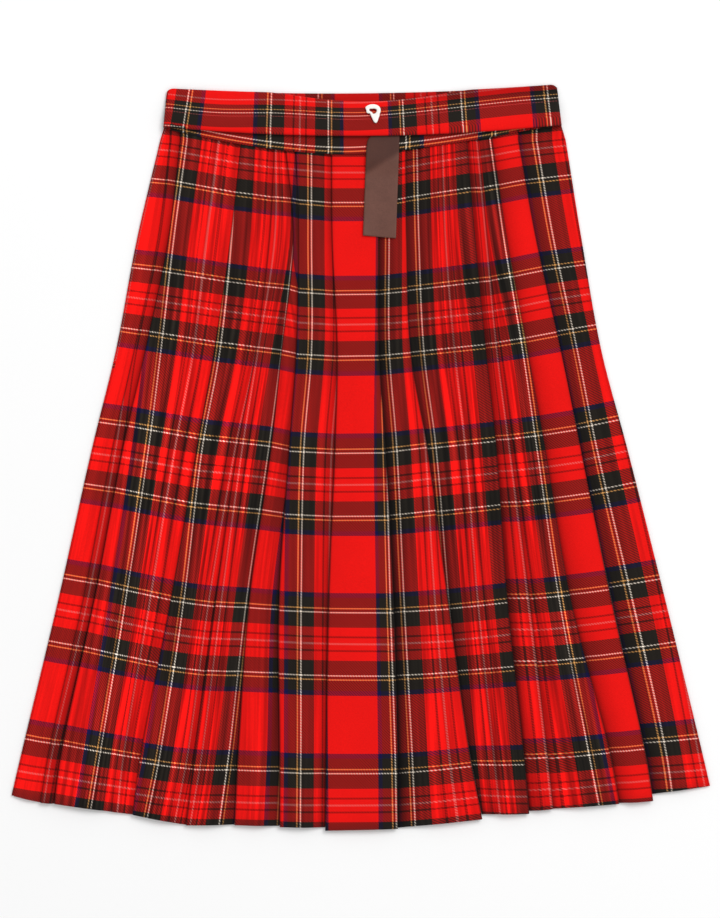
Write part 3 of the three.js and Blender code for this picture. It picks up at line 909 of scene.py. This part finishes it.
    def inset(self, edge: FoldEdge, over: bool, turn: np.ndarray) -> np.ndarray | float:
        """Finds how far inside an edge a panel's own points begin.

        Args:
            edge: The edge.
            over: Whether the panel covers that fold.
            turn: The radius of the fold's turn.

        Returns:
            The distance: past a side's roll, past the turn, or clear of the fold over it.
        """
        if edge.lap is Lap.NONE:
            return self.side_roll
        return turn if over else self.edge_clear

    def panel_block(self, k: int) -> ClothGrid:
        """Makes the points of a panel that show.

        A panel lies level at a fold that it covers and sinks on a smooth step to the
        bottom layer before a fold that covers it. A low arch stands on that.

        Args:
            k: The panel's place in PANELS.

        Returns:
            The panel's grid.
        """
        panel, left, right = PANELS[k], EDGES[k], EDGES[k + 1]
        x0, y0 = self.edge(k, panel.hem[0])
        x1, y1 = self.edge(k + 1, panel.hem[1])
        top = self.top_height(y0)
        turn = (top - self.lay.return_layer) / 2.0
        level = self.pleat_depth(k, k + 1) + self.level_past_pleat + turn
        over_left, over_right = left.lap is Lap.RIGHT, right.lap is Lap.LEFT
        held_left = level if over_left else self.edge_clear
        held_right = level if over_right else self.edge_clear
        start = x0 + self.inset(left, over_left, turn)
        end = x1 - self.inset(right, over_right, turn)
        x = mix(start, end, self.across(k))
        y = mix(y0, y1, (x - x0) / (x1 - x0))
        span = np.maximum(x1 - x0 - held_left - held_right, self.shortest_sink)
        sink = smooth((x - x0 - held_left) / span)
        left_z = top if over_left else self.lay.bottom_layer
        right_z = top if over_right else self.lay.bottom_layer
        arch = np.sin(np.pi * np.clip((x - start) / (end - start), 0.0, 1.0)) ** self.arch_power
        loose = self.lay.looseness(y)
        z = mix(left_z, right_z, sink) + panel.puff * loose * arch
        z = z + self.soft_relief(panel, x, y, arch * mix(self.waves_at_waist, 1.0, loose))
        warp, weft = self.warp_place(panel, x, y), self.weft_place(k, x, y)
        shade = self.painted_panel_shade(k, x, (x0, x1), loose)
        return ClothGrid(x, y, z, warp, weft, shade, panel.gather * arch**self.gather_shading_power)

    def soft_relief(self, panel: Panel, x: np.ndarray, y: np.ndarray, strength: np.ndarray) -> np.ndarray:
        """Works out the small unevenness of laid cloth: the skirt's slow waves, and the
        panel's own creases as bell-shaped troughs that grow down the skirt.

        Args:
            panel: The panel.
            x: Places across the skirt.
            y: Places up the page.
            strength: The waves' strength, which fades at the panel's ends.

        Returns:
            The height to add.
        """
        relief = sum(wave.at(x, y) for wave in SKIRT_WAVES) * strength
        depth = self.lay.waist_y - y
        for crease in (crease for crease in CREASES if crease.panel == panel.name):
            off = (x - curve_at(depth, DEPTHS, crease.across)) / crease.half_width
            grows = smooth((depth - crease.starts_at) / self.crease_grows_over)
            relief = relief + crease.height * np.exp(-off * off) * grows
        return relief

    def fold_block(self, k: int) -> ClothGrid:
        """Makes the layers at a fold edge that run under its upper panel.

        Seen from the edge towards the upper panel the path is: the lower layer in, a
        half turn up, the return layer out, and a half turn up onto the upper panel.

        Args:
            k: The fold's place in EDGES.

        Returns:
            The fold's grid.
        """
        edge = EDGES[k]
        way = edge.lap.value
        upper, lower = (k, k - 1) if way > 0 else (k - 1, k)
        upper_hem = PANELS[upper].hem[0 if way > 0 else 1]
        lower_hem = PANELS[lower].hem[1 if way > 0 else 0]
        edge_x, upper_y = self.edge(k, upper_hem)
        _, lower_y = self.edge(k, lower_hem)
        low, back = self.lay.bottom_layer, self.lay.return_layer
        top = self.top_height(upper_y)
        inner = (back - low) / 2.0
        outer = (top - back) / 2.0
        run = np.linspace(0.0, 1.0, 4)[None, :]
        angle = np.linspace(-np.pi / 2, np.pi / 2, 5)[None, 1:-1]
        wide = np.linspace(-np.pi / 2, np.pi / 2, 9)[None, :-1]
        flat = np.ones_like(edge_x)
        reach = self.pleat_depth(k, k + way) + outer
        inwards = np.hstack((
            mix(-self.edge_clear * flat * 0.4, reach, run),
            reach + inner * np.cos(angle),
            mix(reach, outer, run[:, :-1]),
            outer - outer * np.cos(wide),
        ))
        z = np.hstack((
            low * flat * np.ones_like(run),
            (low + back) / 2.0 * flat + inner * np.sin(angle),
            back * flat * np.ones_like(run[:, :-1]),
            (back + top) / 2.0 + outer * np.sin(wide),
        ))
        counts = (run.size, angle.size, run.size - 1, wide.size)
        weight = np.repeat((0.0, 0.25, 0.5, 1.0), counts)[None, :]
        shorter = np.repeat((1.0, 1.0, 1.0, 0.0), counts)[None, :] * self.hidden_hem_shorter
        y = mix(lower_y, upper_y, weight) + shorter * self.down()
        x = edge_x + way * inwards
        under = self.warp_place(PANELS[lower], x, y)
        brim = edge_x + way * outer
        brim_place = self.warp_place(PANELS[upper], brim, upper_y)
        out = np.abs(inwards - outer) + np.where(z < top - outer, np.pi * outer / 2.0, 0.0)
        on_upper = weight > 0.3
        warp = np.where(on_upper, brim_place - way * out, under)
        weft = np.where(on_upper, self.weft_place(upper, x, y), self.weft_place(lower, x, y))
        # Painted shade: the upper panel darkens towards its turned edge, and the hidden layers are darkened
        # by a share of the fold's painted shadow
        turned = self.turned_shadow * np.exp(-np.maximum(inwards, 0.0) / self.turned_spread)
        over_dark = self.own_shadow + turned + PANELS[upper].tone
        under_dark = self.hidden_shadow + self.hidden_fold_share * edge.shadow
        dark = np.where(on_upper, over_dark, under_dark)
        grid = ClothGrid(x, y, z, warp, weft, dark, self.hidden_gather_shading)
        return grid if way > 0 else grid.mirrored()

    def side_block(self, k: int) -> ClothGrid:
        """Makes the quarter roll of cloth at a side, down towards the back panel. A pale
        line runs along the upper part of the left one.

        Args:
            k: The side's place in EDGES, its first or its last.

        Returns:
            The side's grid.
        """
        at_left = k == 0
        way, place = (1, 0) if at_left else (-1, len(PANELS) - 1)
        panel = PANELS[place]
        edge_x, y = self.edge(k, panel.hem[0 if at_left else 1])
        angle = np.array((0.0, 0.35, 0.7, 0.99))[None, :] * np.pi / 2
        x = edge_x + way * (self.lay.front_cloth / 2 + (self.side_roll - 0.4) * (1 - np.cos(angle)))
        z = self.lay.bottom_layer - self.side_drop * (1 - np.sin(angle))
        warp = self.warp_place(panel, x, y)
        if at_left:
            on_line = self.lay.waist_y - y < self.side_line_ends
            warp = np.where(on_line, self.side_line_place + x - edge_x, warp)
        # The side's roll has a little painted shade
        grid = ClothGrid(x, y, z, warp, self.weft_place(place, x, y), self.side_shade)
        return grid if at_left else grid.mirrored()

    def grid(self) -> ClothGrid:
        """Joins the sides, panels and folds from left to right into one grid."""
        blocks = [self.side_block(0), self.panel_block(0)]
        for k in range(1, len(PANELS)):
            blocks += [self.fold_block(k), self.panel_block(k)]
        blocks.append(self.side_block(len(PANELS)))
        return ClothGrid(*(np.hstack(parts) for parts in zip(*(block.columns() for block in blocks))))

    def build(self, cloth: bpy.types.Material) -> bpy.types.Object:
        """Returns the front cloth, which stands for the CAD's front panel."""
        return self.grid().build("front_cloth", self.lay.front_cloth, cloth)


@dataclass(frozen=True)
class BandShape:
    """The outline of the waistband as it lies: two arcs that sag between its corners."""

    left: float = -177.8
    right: float = 181.3
    lower_left: float = 297.4
    lower_right: float = 299.2
    lower_sag: float = 9.0
    upper_left: float = 332.5
    upper_right: float = 336.1
    upper_sag: float = 5.9
    front_dip: float = 8.1
    dip_centre: float = 8.6
    dip_half_width: float = 95.0
    corner_radius: float = 7.0
    end_roll: float = 7.0
    lean_left: float = 2.5
    lean_right: float = -3.5

    def lean(self, x: np.ndarray, down: np.ndarray) -> np.ndarray:
        """Returns how far the band leans in at a place, in full at its upper edge."""
        return mix(self.lean_left, self.lean_right, self.share(x)) * (1.0 - down)

    def share(self, x: np.ndarray) -> np.ndarray:
        """Returns how far across the band a place is, from 0 to 1."""
        return np.clip((x - self.left) / (self.right - self.left), 0.0, 1.0)

    def sag(self, x: np.ndarray) -> np.ndarray:
        """Returns a parabola that is 0 at the corners and 1 in the middle."""
        return 1.0 - (2.0 * self.share(x) - 1.0) ** 2

    def lower(self, x: np.ndarray) -> np.ndarray:
        """Returns the height up the page of the band's lower edge."""
        return mix(self.lower_left, self.lower_right, self.share(x)) - self.lower_sag * self.sag(x)

    def upper(self, x: np.ndarray, front: bool) -> np.ndarray:
        """Works out the height up the page of the band's upper edge, with its rounded
        corners and, on the front half, its dip in the middle.

        Args:
            x: Places across the band.
            front: Whether it's the front half.

        Returns:
            The heights.
        """
        off = np.minimum(1.0, np.abs(x - self.dip_centre) / self.dip_half_width)
        dip = self.front_dip * (1.0 - off * off) ** 1.5 if front else 0.0
        inside = np.maximum(0.0, self.corner_radius - np.minimum(x - self.left, self.right - x))
        corner = self.corner_radius - np.sqrt(np.maximum(self.corner_radius**2 - inside**2, 0.0))
        base = mix(self.upper_left, self.upper_right, self.share(x))
        return base - self.upper_sag * self.sag(x) - dip - corner

    def stations(self, count: int) -> np.ndarray:
        """Returns places across the band, closer together at its ends, in one row."""
        return mix(self.left, self.right, closer_at_ends(count))[None, :]


# Where the light warp lines cross the waistband, and their places in the warp's sett
BAND_STRIPES_AT = (-159.6, -81.0, -54.7, -29.0, 39.0, 65.1, 92.2, 171.4)
BAND_STRIPES = (
    WHITE, WARP_REPEAT - WHITE, WARP_REPEAT, WARP_REPEAT + WHITE, 2 * WARP_REPEAT - WHITE,
    2 * WARP_REPEAT, 2 * WARP_REPEAT + WHITE, 3 * WARP_REPEAT - WHITE,
)

# How far above the band's lower edge its white weft line runs, by place across
BAND_WHITE_AT = (-177.0, -132.0, -75.0, 0.0, 98.0, 142.0, 168.0)
BAND_WHITE_UP = (17.6, 16.5, 19.1, 17.6, 23.7, 25.4, 25.0)

# At the left end's lower edge the band is folded at its white line, which shows there
FOLDED_WIDTH = 2.0
FOLDED_UP = 2.3
FOLDED_SHIFT = 1.3

# How far the warp leans in towards the band's upper edge at its left end, and the
# distance over which that fades
END_LEAN = 3.0
END_LEAN_FADE = 75.0

# Height of the front band's middle by distance up from its lower edge
SLOPE_UP = (0.0, 6.0, 12.0, 17.0, 25.0, 37.0)
SLOPE_MIDDLE = (9.2, 9.2, 7.9, 6.4, 3.7, 2.7)
SLOPE_END = (3.2, 3.2, 2.5, 2.15, 2.1, 2.1)


def band_warp(x: np.ndarray, up: np.ndarray | float = 0.0) -> np.ndarray:
    """Reads the warp's place on the band: straight runs between its known lines, and the
    cloth's true scale outside them.

    Args:
        x: Places across the band.
        up: Shares of the way up it.

    Returns:
        The places in the warp's sett.
    """
    from_end = (x - BAND_STRIPES_AT[0]) / END_LEAN_FADE
    x = x - END_LEAN * up * (1.0 - smooth(from_end))
    inside = np.interp(x, BAND_STRIPES_AT, BAND_STRIPES)
    before = np.minimum(x - BAND_STRIPES_AT[0], 0.0)
    after = np.maximum(x - BAND_STRIPES_AT[-1], 0.0)
    return inside + before + after


def band_weft(x: np.ndarray, up: np.ndarray) -> np.ndarray:
    """Reads the weft's place on the band: its distance up, moved so that the white line
    falls where the table says.

    Args:
        x: Places across the band.
        up: Distances up from its lower edge.

    Returns:
        The places in the band's sett.
    """
    place = up + BAND_WHITE - curve_at(x, BAND_WHITE_AT, BAND_WHITE_UP)
    folded = (x < BAND_STRIPES_AT[0] + FOLDED_WIDTH) & (up < FOLDED_UP)
    return np.where(folded, up + BAND_WHITE - FOLDED_SHIFT, np.maximum(place, 0.0))


@dataclass
class Waistband:
    """The band's front and back halves. The front's edges are turned under, and its
    ends roll down to the back half's. Painted shade darkens the front's ends and its
    lower edge, and the front is darker towards its upper right: across and up the
    band, that darkening starts at upper_shade_from and grows over upper_shade_over."""

    shape: BandShape
    columns: int = 150
    front_rows: int = 30
    back_rows: int = 12
    front_wall: float = 1.4
    back_wall: float = 1.0
    back_height: float = 0.6
    back_warp_shift: float = 9.0
    edge_roll: float = 1.0
    edge_drop: float = 0.5
    rim_shade: float = 0.20
    end_fade: float = 1.5
    lower_fade: float = 0.8
    upper_shade: float = 0.22
    upper_shade_from: tuple[float, float] = (20.0, 27.0)
    upper_shade_over: tuple[float, float] = (70.0, 6.0)

    def front(self, cloth: bpy.types.Material) -> bpy.types.Object:
        """Makes the front half.

        Its height is read from the slope table by distance up the band, and blends on a
        quarter circle into the ends' own height. Both edges roll down by a little.

        Args:
            cloth: The band's tartan.

        Returns:
            The piece.
        """
        x = self.shape.stations(self.columns)
        share = closer_at_ends(self.front_rows)[:, None]
        lower, upper = self.shape.lower(x), self.shape.upper(x, True)
        y = mix(upper, lower, share)
        up = y - lower
        from_end = np.minimum(x - self.shape.left, self.shape.right - x)
        round_in = np.sqrt(1.0 - (1.0 - np.minimum(1.0, from_end / self.shape.end_roll)) ** 2)
        z = mix(curve_at(up, SLOPE_UP, SLOPE_END), curve_at(up, SLOPE_UP, SLOPE_MIDDLE), round_in)
        near = np.minimum(up, upper - y) / self.edge_roll
        z = z - self.edge_drop * (1.0 - np.clip(near, 0.0, 1.0)) ** 2
        z = z + self.puckers(x, up) * round_in
        middle_way = np.sign(self.shape.left + self.shape.right - 2 * x)
        inset = np.maximum(0.0, self.front_wall / 2 - from_end) * middle_way
        # Painted shade at the band's ends and lower edge, and darker towards its upper right
        rims = np.exp(-from_end / self.end_fade), np.exp(-up / self.lower_fade)
        shade = self.rim_shade * rims[0] + self.rim_shade * rims[1]
        grows = [
            smooth((at - start) / length)
            for at, start, length in zip((x, up), self.upper_shade_from, self.upper_shade_over)
        ]
        shade = shade + self.upper_shade * grows[0] * grows[1]
        lean = self.shape.lean(x, share)
        grid = ClothGrid(x + inset + lean, y, z, band_warp(x, 1.0 - share), band_weft(x, up), shade)
        return grid.build("waistband_front_cloth", self.front_wall, cloth)

    def puckers(self, x: np.ndarray, up: np.ndarray) -> np.ndarray:
        """Returns the band's slight unevenness: slow waves across it."""
        return 0.22 * np.sin(x / 23.0 + 0.8) * np.sin(up / 9.0) + 0.15 * np.sin(x / 11.0 - up / 7.0)

    def back(self, cloth: bpy.types.Material) -> bpy.types.Object:
        """Makes the back half, which lies flat and shows its inside above the dip.

        Args:
            cloth: The tartan of the band's inside, a darker copy with painted shade.

        Returns:
            The piece.
        """
        x = self.shape.stations(self.columns)
        share = np.linspace(0.0, 1.0, self.back_rows)[:, None]
        lower = self.shape.lower(x)
        y = mix(self.shape.upper(x, False), lower, share)
        warp = band_warp(x, 1.0 - share) + self.back_warp_shift
        lean = self.shape.lean(x, share)
        grid = ClothGrid(x + lean, y, self.back_height, warp, band_weft(x, y - lower))
        return grid.build("waistband_back_cloth", self.back_wall, cloth)


@dataclass
class YokeStrip:
    """One piece of the curved strip under the front band. Its lower edge is a power
    curve over reach, and its warp lines stand warp_shift from the waistband's."""

    shape: BandShape
    name: str
    ends: tuple[float, float]
    reach: float
    sharpness: float
    warp_shift: float
    columns: int = 90
    rows: int = 12
    height: float = 5.4
    wall: float = 0.8
    tuck: float = 5.0
    edge_left: float = 297.2
    edge_right: float = 298.6
    drop: float = 25.0
    lowest_at: float = -14.0
    edge_roll: float = 1.2
    edge_drop: float = 0.25
    weft_at_edge: float = 34.6

    def lower(self, x: np.ndarray) -> np.ndarray:
        """Works out the strip's lower edge: a power curve that is lowest near the middle.

        Args:
            x: Places across the strip.

        Returns:
            The edge's heights up the page.
        """
        off = np.minimum(1.0, np.abs(x - self.lowest_at) / self.reach)
        ends = mix(self.edge_left, self.edge_right, self.shape.share(x))
        return ends - self.drop * (1 - off**self.sharpness)

    def build(self, cloth: bpy.types.Material) -> bpy.types.Object:
        """Makes the piece, which is tucked in under the band and rolls down at its edge.

        Args:
            cloth: The tartan.

        Returns:
            The piece.
        """
        x = np.linspace(*self.ends, self.columns)[None, :]
        share = np.linspace(0.0, 1.0, self.rows)[:, None]
        low = np.minimum(self.lower(x), self.shape.lower(x) - 1.0)
        y = mix(self.shape.lower(x) + self.tuck, low, share)
        roll = 1.0 - np.clip((y - low) / self.edge_roll, 0.0, 1.0)
        z = self.height - self.edge_drop * roll**2
        grid = ClothGrid(x, y, z, band_warp(x) + self.warp_shift, self.weft_at_edge - (y - low))
        return grid.build(self.name, self.wall, cloth)


@dataclass
class BackPanel:
    """The back of the skirt, which lies flat under the front. hem_up is how far its hem
    lies above the lowest one at each place of hem_at, and the lowest pale line of its
    weft runs pale_above_hem up."""

    lay: Lay
    shape: BandShape
    wall: float = 1.0
    height: float = 0.55
    rows: int = 60
    columns: int = 70
    under_band: float = 0.3
    inside_front: float = 0.4
    warp_shift: float = 30.0
    pale_above_hem: float = 23.7
    hem_at: tuple[float, ...] = (-319, -277, -206, -156, -72, 10, 60, 109, 173, 235, 266, 321)
    hem_up: tuple[float, ...] = (33.5, 27.0, 17.0, 9.0, 6.5, 4.0, 9.5, 17.5, 22.0, 29.0, 35.0, 42.5)

    def build(self, cloth: bpy.types.Material) -> bpy.types.Object:
        """Makes the back cloth: straight columns from the band to a curved hem, spread
        evenly between the two sides at each height.

        Args:
            cloth: The tartan.

        Returns:
            The piece.
        """
        share = np.linspace(0.0, 1.0, self.columns)[None, :]
        down = np.linspace(0.0, 1.0, self.rows)[:, None]
        top = self.shape.lower(mix(self.shape.left, self.shape.right, share)) - self.under_band
        at_hem = mix(EDGES[0].across[-1], EDGES[-1].across[-1], share)
        hem = self.lay.lowest_y + curve_at(at_hem, self.hem_at, self.hem_up)
        y = mix(top, hem, down)
        left, right = (self.lay.side(i, self.lay.waist_y - y) for i in (0, -1))
        x = mix(left + self.inside_front, right - self.inside_front, share)
        weft = height_along(x, y) - self.pale_above_hem
        grid = ClothGrid(x, y, self.height, at_hem + self.warp_shift, weft)
        return grid.build("back_cloth", self.wall, cloth)


@dataclass(frozen=True)
class TabFinish:
    """Brown satin-woven cloth with fine crosswise ribs. A slanting line across it, which
    rises by shadow_slope, has painted shade above it."""

    name: str = "tab cloth"
    light: tuple[float, float, float] = (0.452, 0.297, 0.252)
    dark: tuple[float, float, float] = (0.308, 0.188, 0.153)
    rib: float = 0.9
    rib_strength: float = 0.15
    cloud_strength: float = 0.60
    grain_strength: float = 0.9
    middle: float = 0.25
    shadow: tuple[float, float, float] = (0.74, 0.63, 0.56)
    shadow_y: float = 253.8
    shadow_slope: float = 0.625
    shadow_starts: float = -5.0
    shadow_is_full: float = 3.0

    def build(self) -> bpy.types.Material:
        """Makes the material: two browns mixed by ribs and cloudy wear, with painted shade
        above a slanting line where the tab dips behind the yoke's fold.

        Returns:
            The material.
        """
        kit = FinishKit(self.name, {"Roughness": 0.55, "Specular IOR Level": 0.3})
        where = kit.add("ShaderNodeTexCoord").outputs["Object"]
        x, y, _ = kit.add("ShaderNodeSeparateXYZ", Vector=where).outputs
        ribs = kit.math("SINE", kit.math("MULTIPLY", y, 2.0 * np.pi / (self.rib * MM)))
        cloud = kit.math("MULTIPLY", kit.noise(where, 60.0, 4.0), self.cloud_strength)
        share = kit.math("MULTIPLY_ADD", ribs, self.rib_strength, cloud)
        share = kit.math("SUBTRACT", share, self.middle)
        share = kit.math("MULTIPLY_ADD", kit.noise(where, 1500.0), self.grain_strength, share)
        browns = kit.blend(share, (*self.dark, 1.0), (*self.light, 1.0))
        # Painted shade above the slanting line
        line = kit.math("MULTIPLY_ADD", x, self.shadow_slope, self.shadow_y * MM)
        above = kit.add(
            "ShaderNodeMapRange", {"interpolation_type": "SMOOTHSTEP"}, Value=kit.math("SUBTRACT", y, line),
            in1=self.shadow_starts * MM, in2=self.shadow_is_full * MM,
        )
        shaded = kit.blend(1.0, browns, (*self.shadow, 1.0), "MULTIPLY")
        light = kit.to_light(kit.blend(above.outputs[0], browns, shaded))
        return kit.dress(light, kit.add("ShaderNodeBump", Strength=0.5, Distance=0.0001, Height=share))


@dataclass(frozen=True)
class LoopFinish:
    """Smooth off-white plastic with faint clouding."""

    name: str = "loop plastic"
    colour: tuple[float, float, float] = (0.92, 0.90, 0.85)
    clouded: float = 0.88

    def build(self) -> bpy.types.Material:
        """Returns the material."""
        kit = FinishKit(self.name, {"Roughness": 0.35})
        cloud = kit.noise(kit.add("ShaderNodeTexCoord").outputs["Object"], 300.0, 3.0)
        shade = tuple(part * self.clouded for part in self.colour)
        return kit.dress(kit.blend(cloud, (*shade, 1.0), (*self.colour, 1.0)))


@dataclass
class ClothTab:
    """A cloth tab from under the band, over the yoke and down onto the centre panel."""

    lay: Lay
    wall: float = 0.7
    rows: int = 80
    columns: int = 24
    top_y: float = 291.5
    bottom_y: tuple[float, float] = (199.8, 197.2)
    top_ends: tuple[float, float] = (5.6, 35.2)
    bottom_ends: tuple[float, float] = (2.2, 31.9)
    over_yoke: float = 6.8
    over_panel: float = 1.35
    corner: float = 4.0
    corner_fade: float = 3.0
    corner_lift: float = 0.9
    shows_from: float = 289.3
    leaves_yoke_y: float = 270.0
    lies_down_y: float = 250.0

    def build(self, cloth: bpy.types.Material) -> bpy.types.Object:
        """Makes the tab: stepping down off the yoke on a smooth step, rounded at its
        upper left corner, with its lower corners lifted a little.

        Args:
            cloth: The tab's cloth.

        Returns:
            The piece.
        """
        share = np.linspace(0.0, 1.0, self.rows)[:, None]
        across = np.linspace(0.0, 1.0, self.columns)[None, :]
        y = mix(self.top_y, mix(*self.bottom_y, across), share)
        left, right = (mix(*ends, share) for ends in zip(self.top_ends, self.bottom_ends))
        rounded = self.corner * np.exp(-np.maximum(self.shows_from - y, 0.0) / self.corner_fade)
        x = mix(left, right, across) + rounded * (1.0 - across)
        down = smooth((self.leaves_yoke_y - y) / (self.leaves_yoke_y - self.lies_down_y))
        on_panel = self.lay.top_layer + self.lay.lift_at_hem * self.lay.looseness(y) + self.over_panel
        z = mix(self.over_yoke, on_panel, down)
        z = z + self.corner_lift * share**6 * (2.0 * across - 1.0) ** 2
        return ClothGrid(x, y, z, x, y).build("tab_cloth", self.wall, cloth)


@dataclass(frozen=True)
class LoopRay:
    """How far the loop's rim and its hole reach from the hole's middle, by angle in
    degrees, anticlockwise from +X."""

    angle: float
    rim: float
    hole: float


LOOP_RAYS = (
    LoopRay(20, 6.8, 3.1),
    LoopRay(45, 6.5, 2.4),
    LoopRay(70, 6.1, 2.0),
    LoopRay(100, 6.1, 1.9),
    LoopRay(130, 6.9, 2.3),
    LoopRay(155, 8.0, 3.7),
    LoopRay(176, 6.4, 3.5),
    LoopRay(200, 6.2, 2.2),
    LoopRay(218, 4.0, 1.6),
    LoopRay(245, 5.0, 2.0),
    LoopRay(263, 7.4, 2.5),
    LoopRay(272, 10.4, 2.7),
    LoopRay(280, 12.0, 2.8),
    LoopRay(288, 11.2, 2.8),
    LoopRay(302, 8.6, 2.9),
    LoopRay(332, 6.4, 2.9),
    LoopRay(355, 6.6, 3.0),
)


@dataclass
class PlasticLoop:
    """A small drop-shaped loop of moulded plastic, lying on the front band."""

    shape: BandShape
    x: float = 11.5
    y: float = 311.9
    steps: int = 96
    section_points: int = 16
    height: float = 1.3
    over_band: float = 1.0

    def build(self, plastic: bpy.types.Material) -> bpy.types.Object:
        """Makes the loop: a low rounded section from the hole to the rim, carried round
        by angle, whose reach at each angle is read from the table of rays.

        Args:
            plastic: The loop's material.

        Returns:
            The piece.
        """
        turn = np.linspace(0.0, 360.0, self.steps, endpoint=False)
        angles, rims, holes = zip(*((ray.angle, ray.rim, ray.hole) for ray in LOOP_RAYS))
        rim, hole = (np.interp(turn, angles, reach, period=360.0)[:, None] for reach in (rims, holes))
        around = np.linspace(0.0, 2 * np.pi, self.section_points, endpoint=False)[None, :]
        out = (rim + hole) / 2.0 + (rim - hole) / 2.0 * np.cos(around)
        x = self.x + out * np.cos(np.radians(turn))[:, None]
        y = self.y + out * np.sin(np.radians(turn))[:, None]
        up = y - self.shape.lower(np.array(self.x))
        thick = np.abs(np.sin(around)) ** 0.6 * np.sign(np.sin(around))
        z = curve_at(up, SLOPE_UP, SLOPE_MIDDLE) + self.over_band + self.height * (1.0 + thick)
        at = np.arange(x.size).reshape(x.shape)
        right, down_one = np.roll(at, -1, axis=1), np.roll(at, -1, axis=0)
        both = np.roll(down_one, -1, axis=1)
        quads = np.stack((at, right, both, down_one), axis=-1).reshape(-1, 4)
        points = np.stack((x, y, z), axis=-1).reshape(-1, 3) * MM
        return mesh_piece("loop_plastic", points, outward(points, quads), plastic)


def outward(points: np.ndarray, quads: np.ndarray) -> np.ndarray:
    """Turns a closed mesh's quads the right way out if its signed volume is negative.

    Six times the volume is the sum, over both halves of each quad, of one corner's dot
    product with the cross product of the other two.

    Args:
        points: The points, one row each.
        quads: The quads, one row of four indices each.

    Returns:
        The quads, turned if need be.
    """
    p = points[quads]
    halves = np.cross(p[:, 1], p[:, 2]) + np.cross(p[:, 2], p[:, 3])
    return quads[:, ::-1] if np.einsum("ij,ij->", p[:, 0], halves) < 0 else quads


@dataclass
class Studio:
    """The camera straight above the skirt, plain soft light and a pale floor, in metres."""

    view_height: float = 0.8262
    centre: tuple[float, float] = (-0.0005, -0.0014)
    lens: float = 100.0
    sensor: float = 36.0
    cloth_height: float = 0.006
    sky_strength: float = 0.70
    lamp_at: tuple[float, float, float] = (2.0, 2.3, 4.2)
    lamp_size: float = 2.8
    lamp_power: float = 135.0
    floor_reach: float = 4.0
    floor_height: float = -0.0003

    def camera(self) -> None:
        """Puts the camera where the photograph's frame takes in view_height metres: its
        distance is half that height over the tangent of half its angle."""
        data = bpy.data.cameras.new("camera")
        data.lens = self.lens
        data.sensor_width = self.sensor
        data.clip_end = 50.0
        distance = self.view_height * self.lens / self.sensor
        camera = bpy.data.objects.new("camera", data)
        camera.location = (*self.centre, distance + self.cloth_height)
        bpy.context.scene.collection.objects.link(camera)
        bpy.context.scene.camera = camera

    def lights(self) -> None:
        """Adds an even pale sky and one large soft lamp from the upper right."""
        world = bpy.data.worlds.new("sky")
        bpy.context.scene.world = world
        world.use_nodes = True
        sky = world.node_tree.nodes["Background"]
        sky.inputs[0].default_value = (1.0, 1.0, 1.0, 1.0)
        sky.inputs[1].default_value = self.sky_strength
        lamp_data = bpy.data.lights.new("soft lamp", "AREA")
        lamp_data.shape = "DISK"
        lamp_data.size = self.lamp_size
        lamp_data.energy = self.lamp_power
        lamp = bpy.data.objects.new("soft lamp", lamp_data)
        lamp.location = self.lamp_at
        lamp.rotation_euler = Vector(self.lamp_at).to_track_quat("Z", "Y").to_euler()
        bpy.context.scene.collection.objects.link(lamp)
        bpy.context.scene.view_settings.view_transform = "Standard"

    def floor(self) -> None:
        """Lays the pale floor, a wide grid just under the skirt."""
        size = np.linspace(-self.floor_reach, self.floor_reach, 9)
        x, y = np.meshgrid(size, -size)
        points = np.stack((x, y, np.full_like(x, self.floor_height)), axis=-1).reshape(-1, 3)
        pale = FinishKit("pale floor", {
            "Base Color": (0.93, 0.93, 0.93, 1.0), "Roughness": 0.9, "Specular IOR Level": 0.1,
        })
        floor = mesh_piece("floor", points, grid_quads(*x.shape), pale.material)


def show_piece(piece: bpy.types.Object, slot: str, *nodes: str) -> bpy.types.Object:
    """Rides a piece on the skirt's one body and puts it in the place of CAD nodes.

    Args:
        piece: The piece.
        slot: The record's material slot; not used.
        *nodes: The CAD nodes that it stands for.

    Returns:
        The piece.
    """
    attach(piece, BODY)
    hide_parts(*nodes)
    log.info("%s: %d faces", piece.name, len(piece.data.polygons))
    return piece


def main() -> None:
    """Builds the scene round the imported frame, piece by piece."""
    logging.basicConfig(level=logging.INFO, format="%(name)s %(message)s")
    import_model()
    studio = Studio()
    studio.camera()
    studio.lights()
    studio.floor()

    tartan = TartanFinish().build()
    band_cloth = TartanFinish(name="waistband cloth", weft_sett=BAND_SETT).build()
    # The band's inside is a darker copy of its tartan: painted shade where it shows under the front band's
    # dipped edge
    inside = TartanFinish(name="waistband inside", weft_sett=BAND_SETT, brightness=0.80).build()
    lay, shape = Lay(), BandShape()
    bands = Waistband(shape)
    left_strip = YokeStrip(
        shape, "yoke_left_cloth", ends=(-173.0, 14.0), reach=166.5, sharpness=1.7, warp_shift=0.0)
    right_strip = YokeStrip(
        shape, "yoke_right_cloth", ends=(14.3, 172.0), reach=184.0, sharpness=1.5, warp_shift=-77.5)

    front = show_piece(PleatedFront(lay).build(tartan), "tartan_cloth", "front_panel")
    back = show_piece(BackPanel(lay, shape).build(tartan), "tartan_cloth", "back_panel")
    band_front = show_piece(bands.front(band_cloth), "tartan_cloth", "waistband_front")
    band_back = show_piece(bands.back(inside), "tartan_cloth", "waistband_back")
    yoke_left = show_piece(left_strip.build(tartan), "tartan_cloth", "yoke_left")
    yoke_right = show_piece(right_strip.build(tartan), "tartan_cloth", "yoke_right")
    tab = show_piece(ClothTab(lay).build(TabFinish().build()), "tab_cloth", "cloth_tab")
    show_piece(PlasticLoop(shape).build(LoopFinish().build()), "loop_plastic", "plastic_loop")


if __name__ == "__main__":
    main()
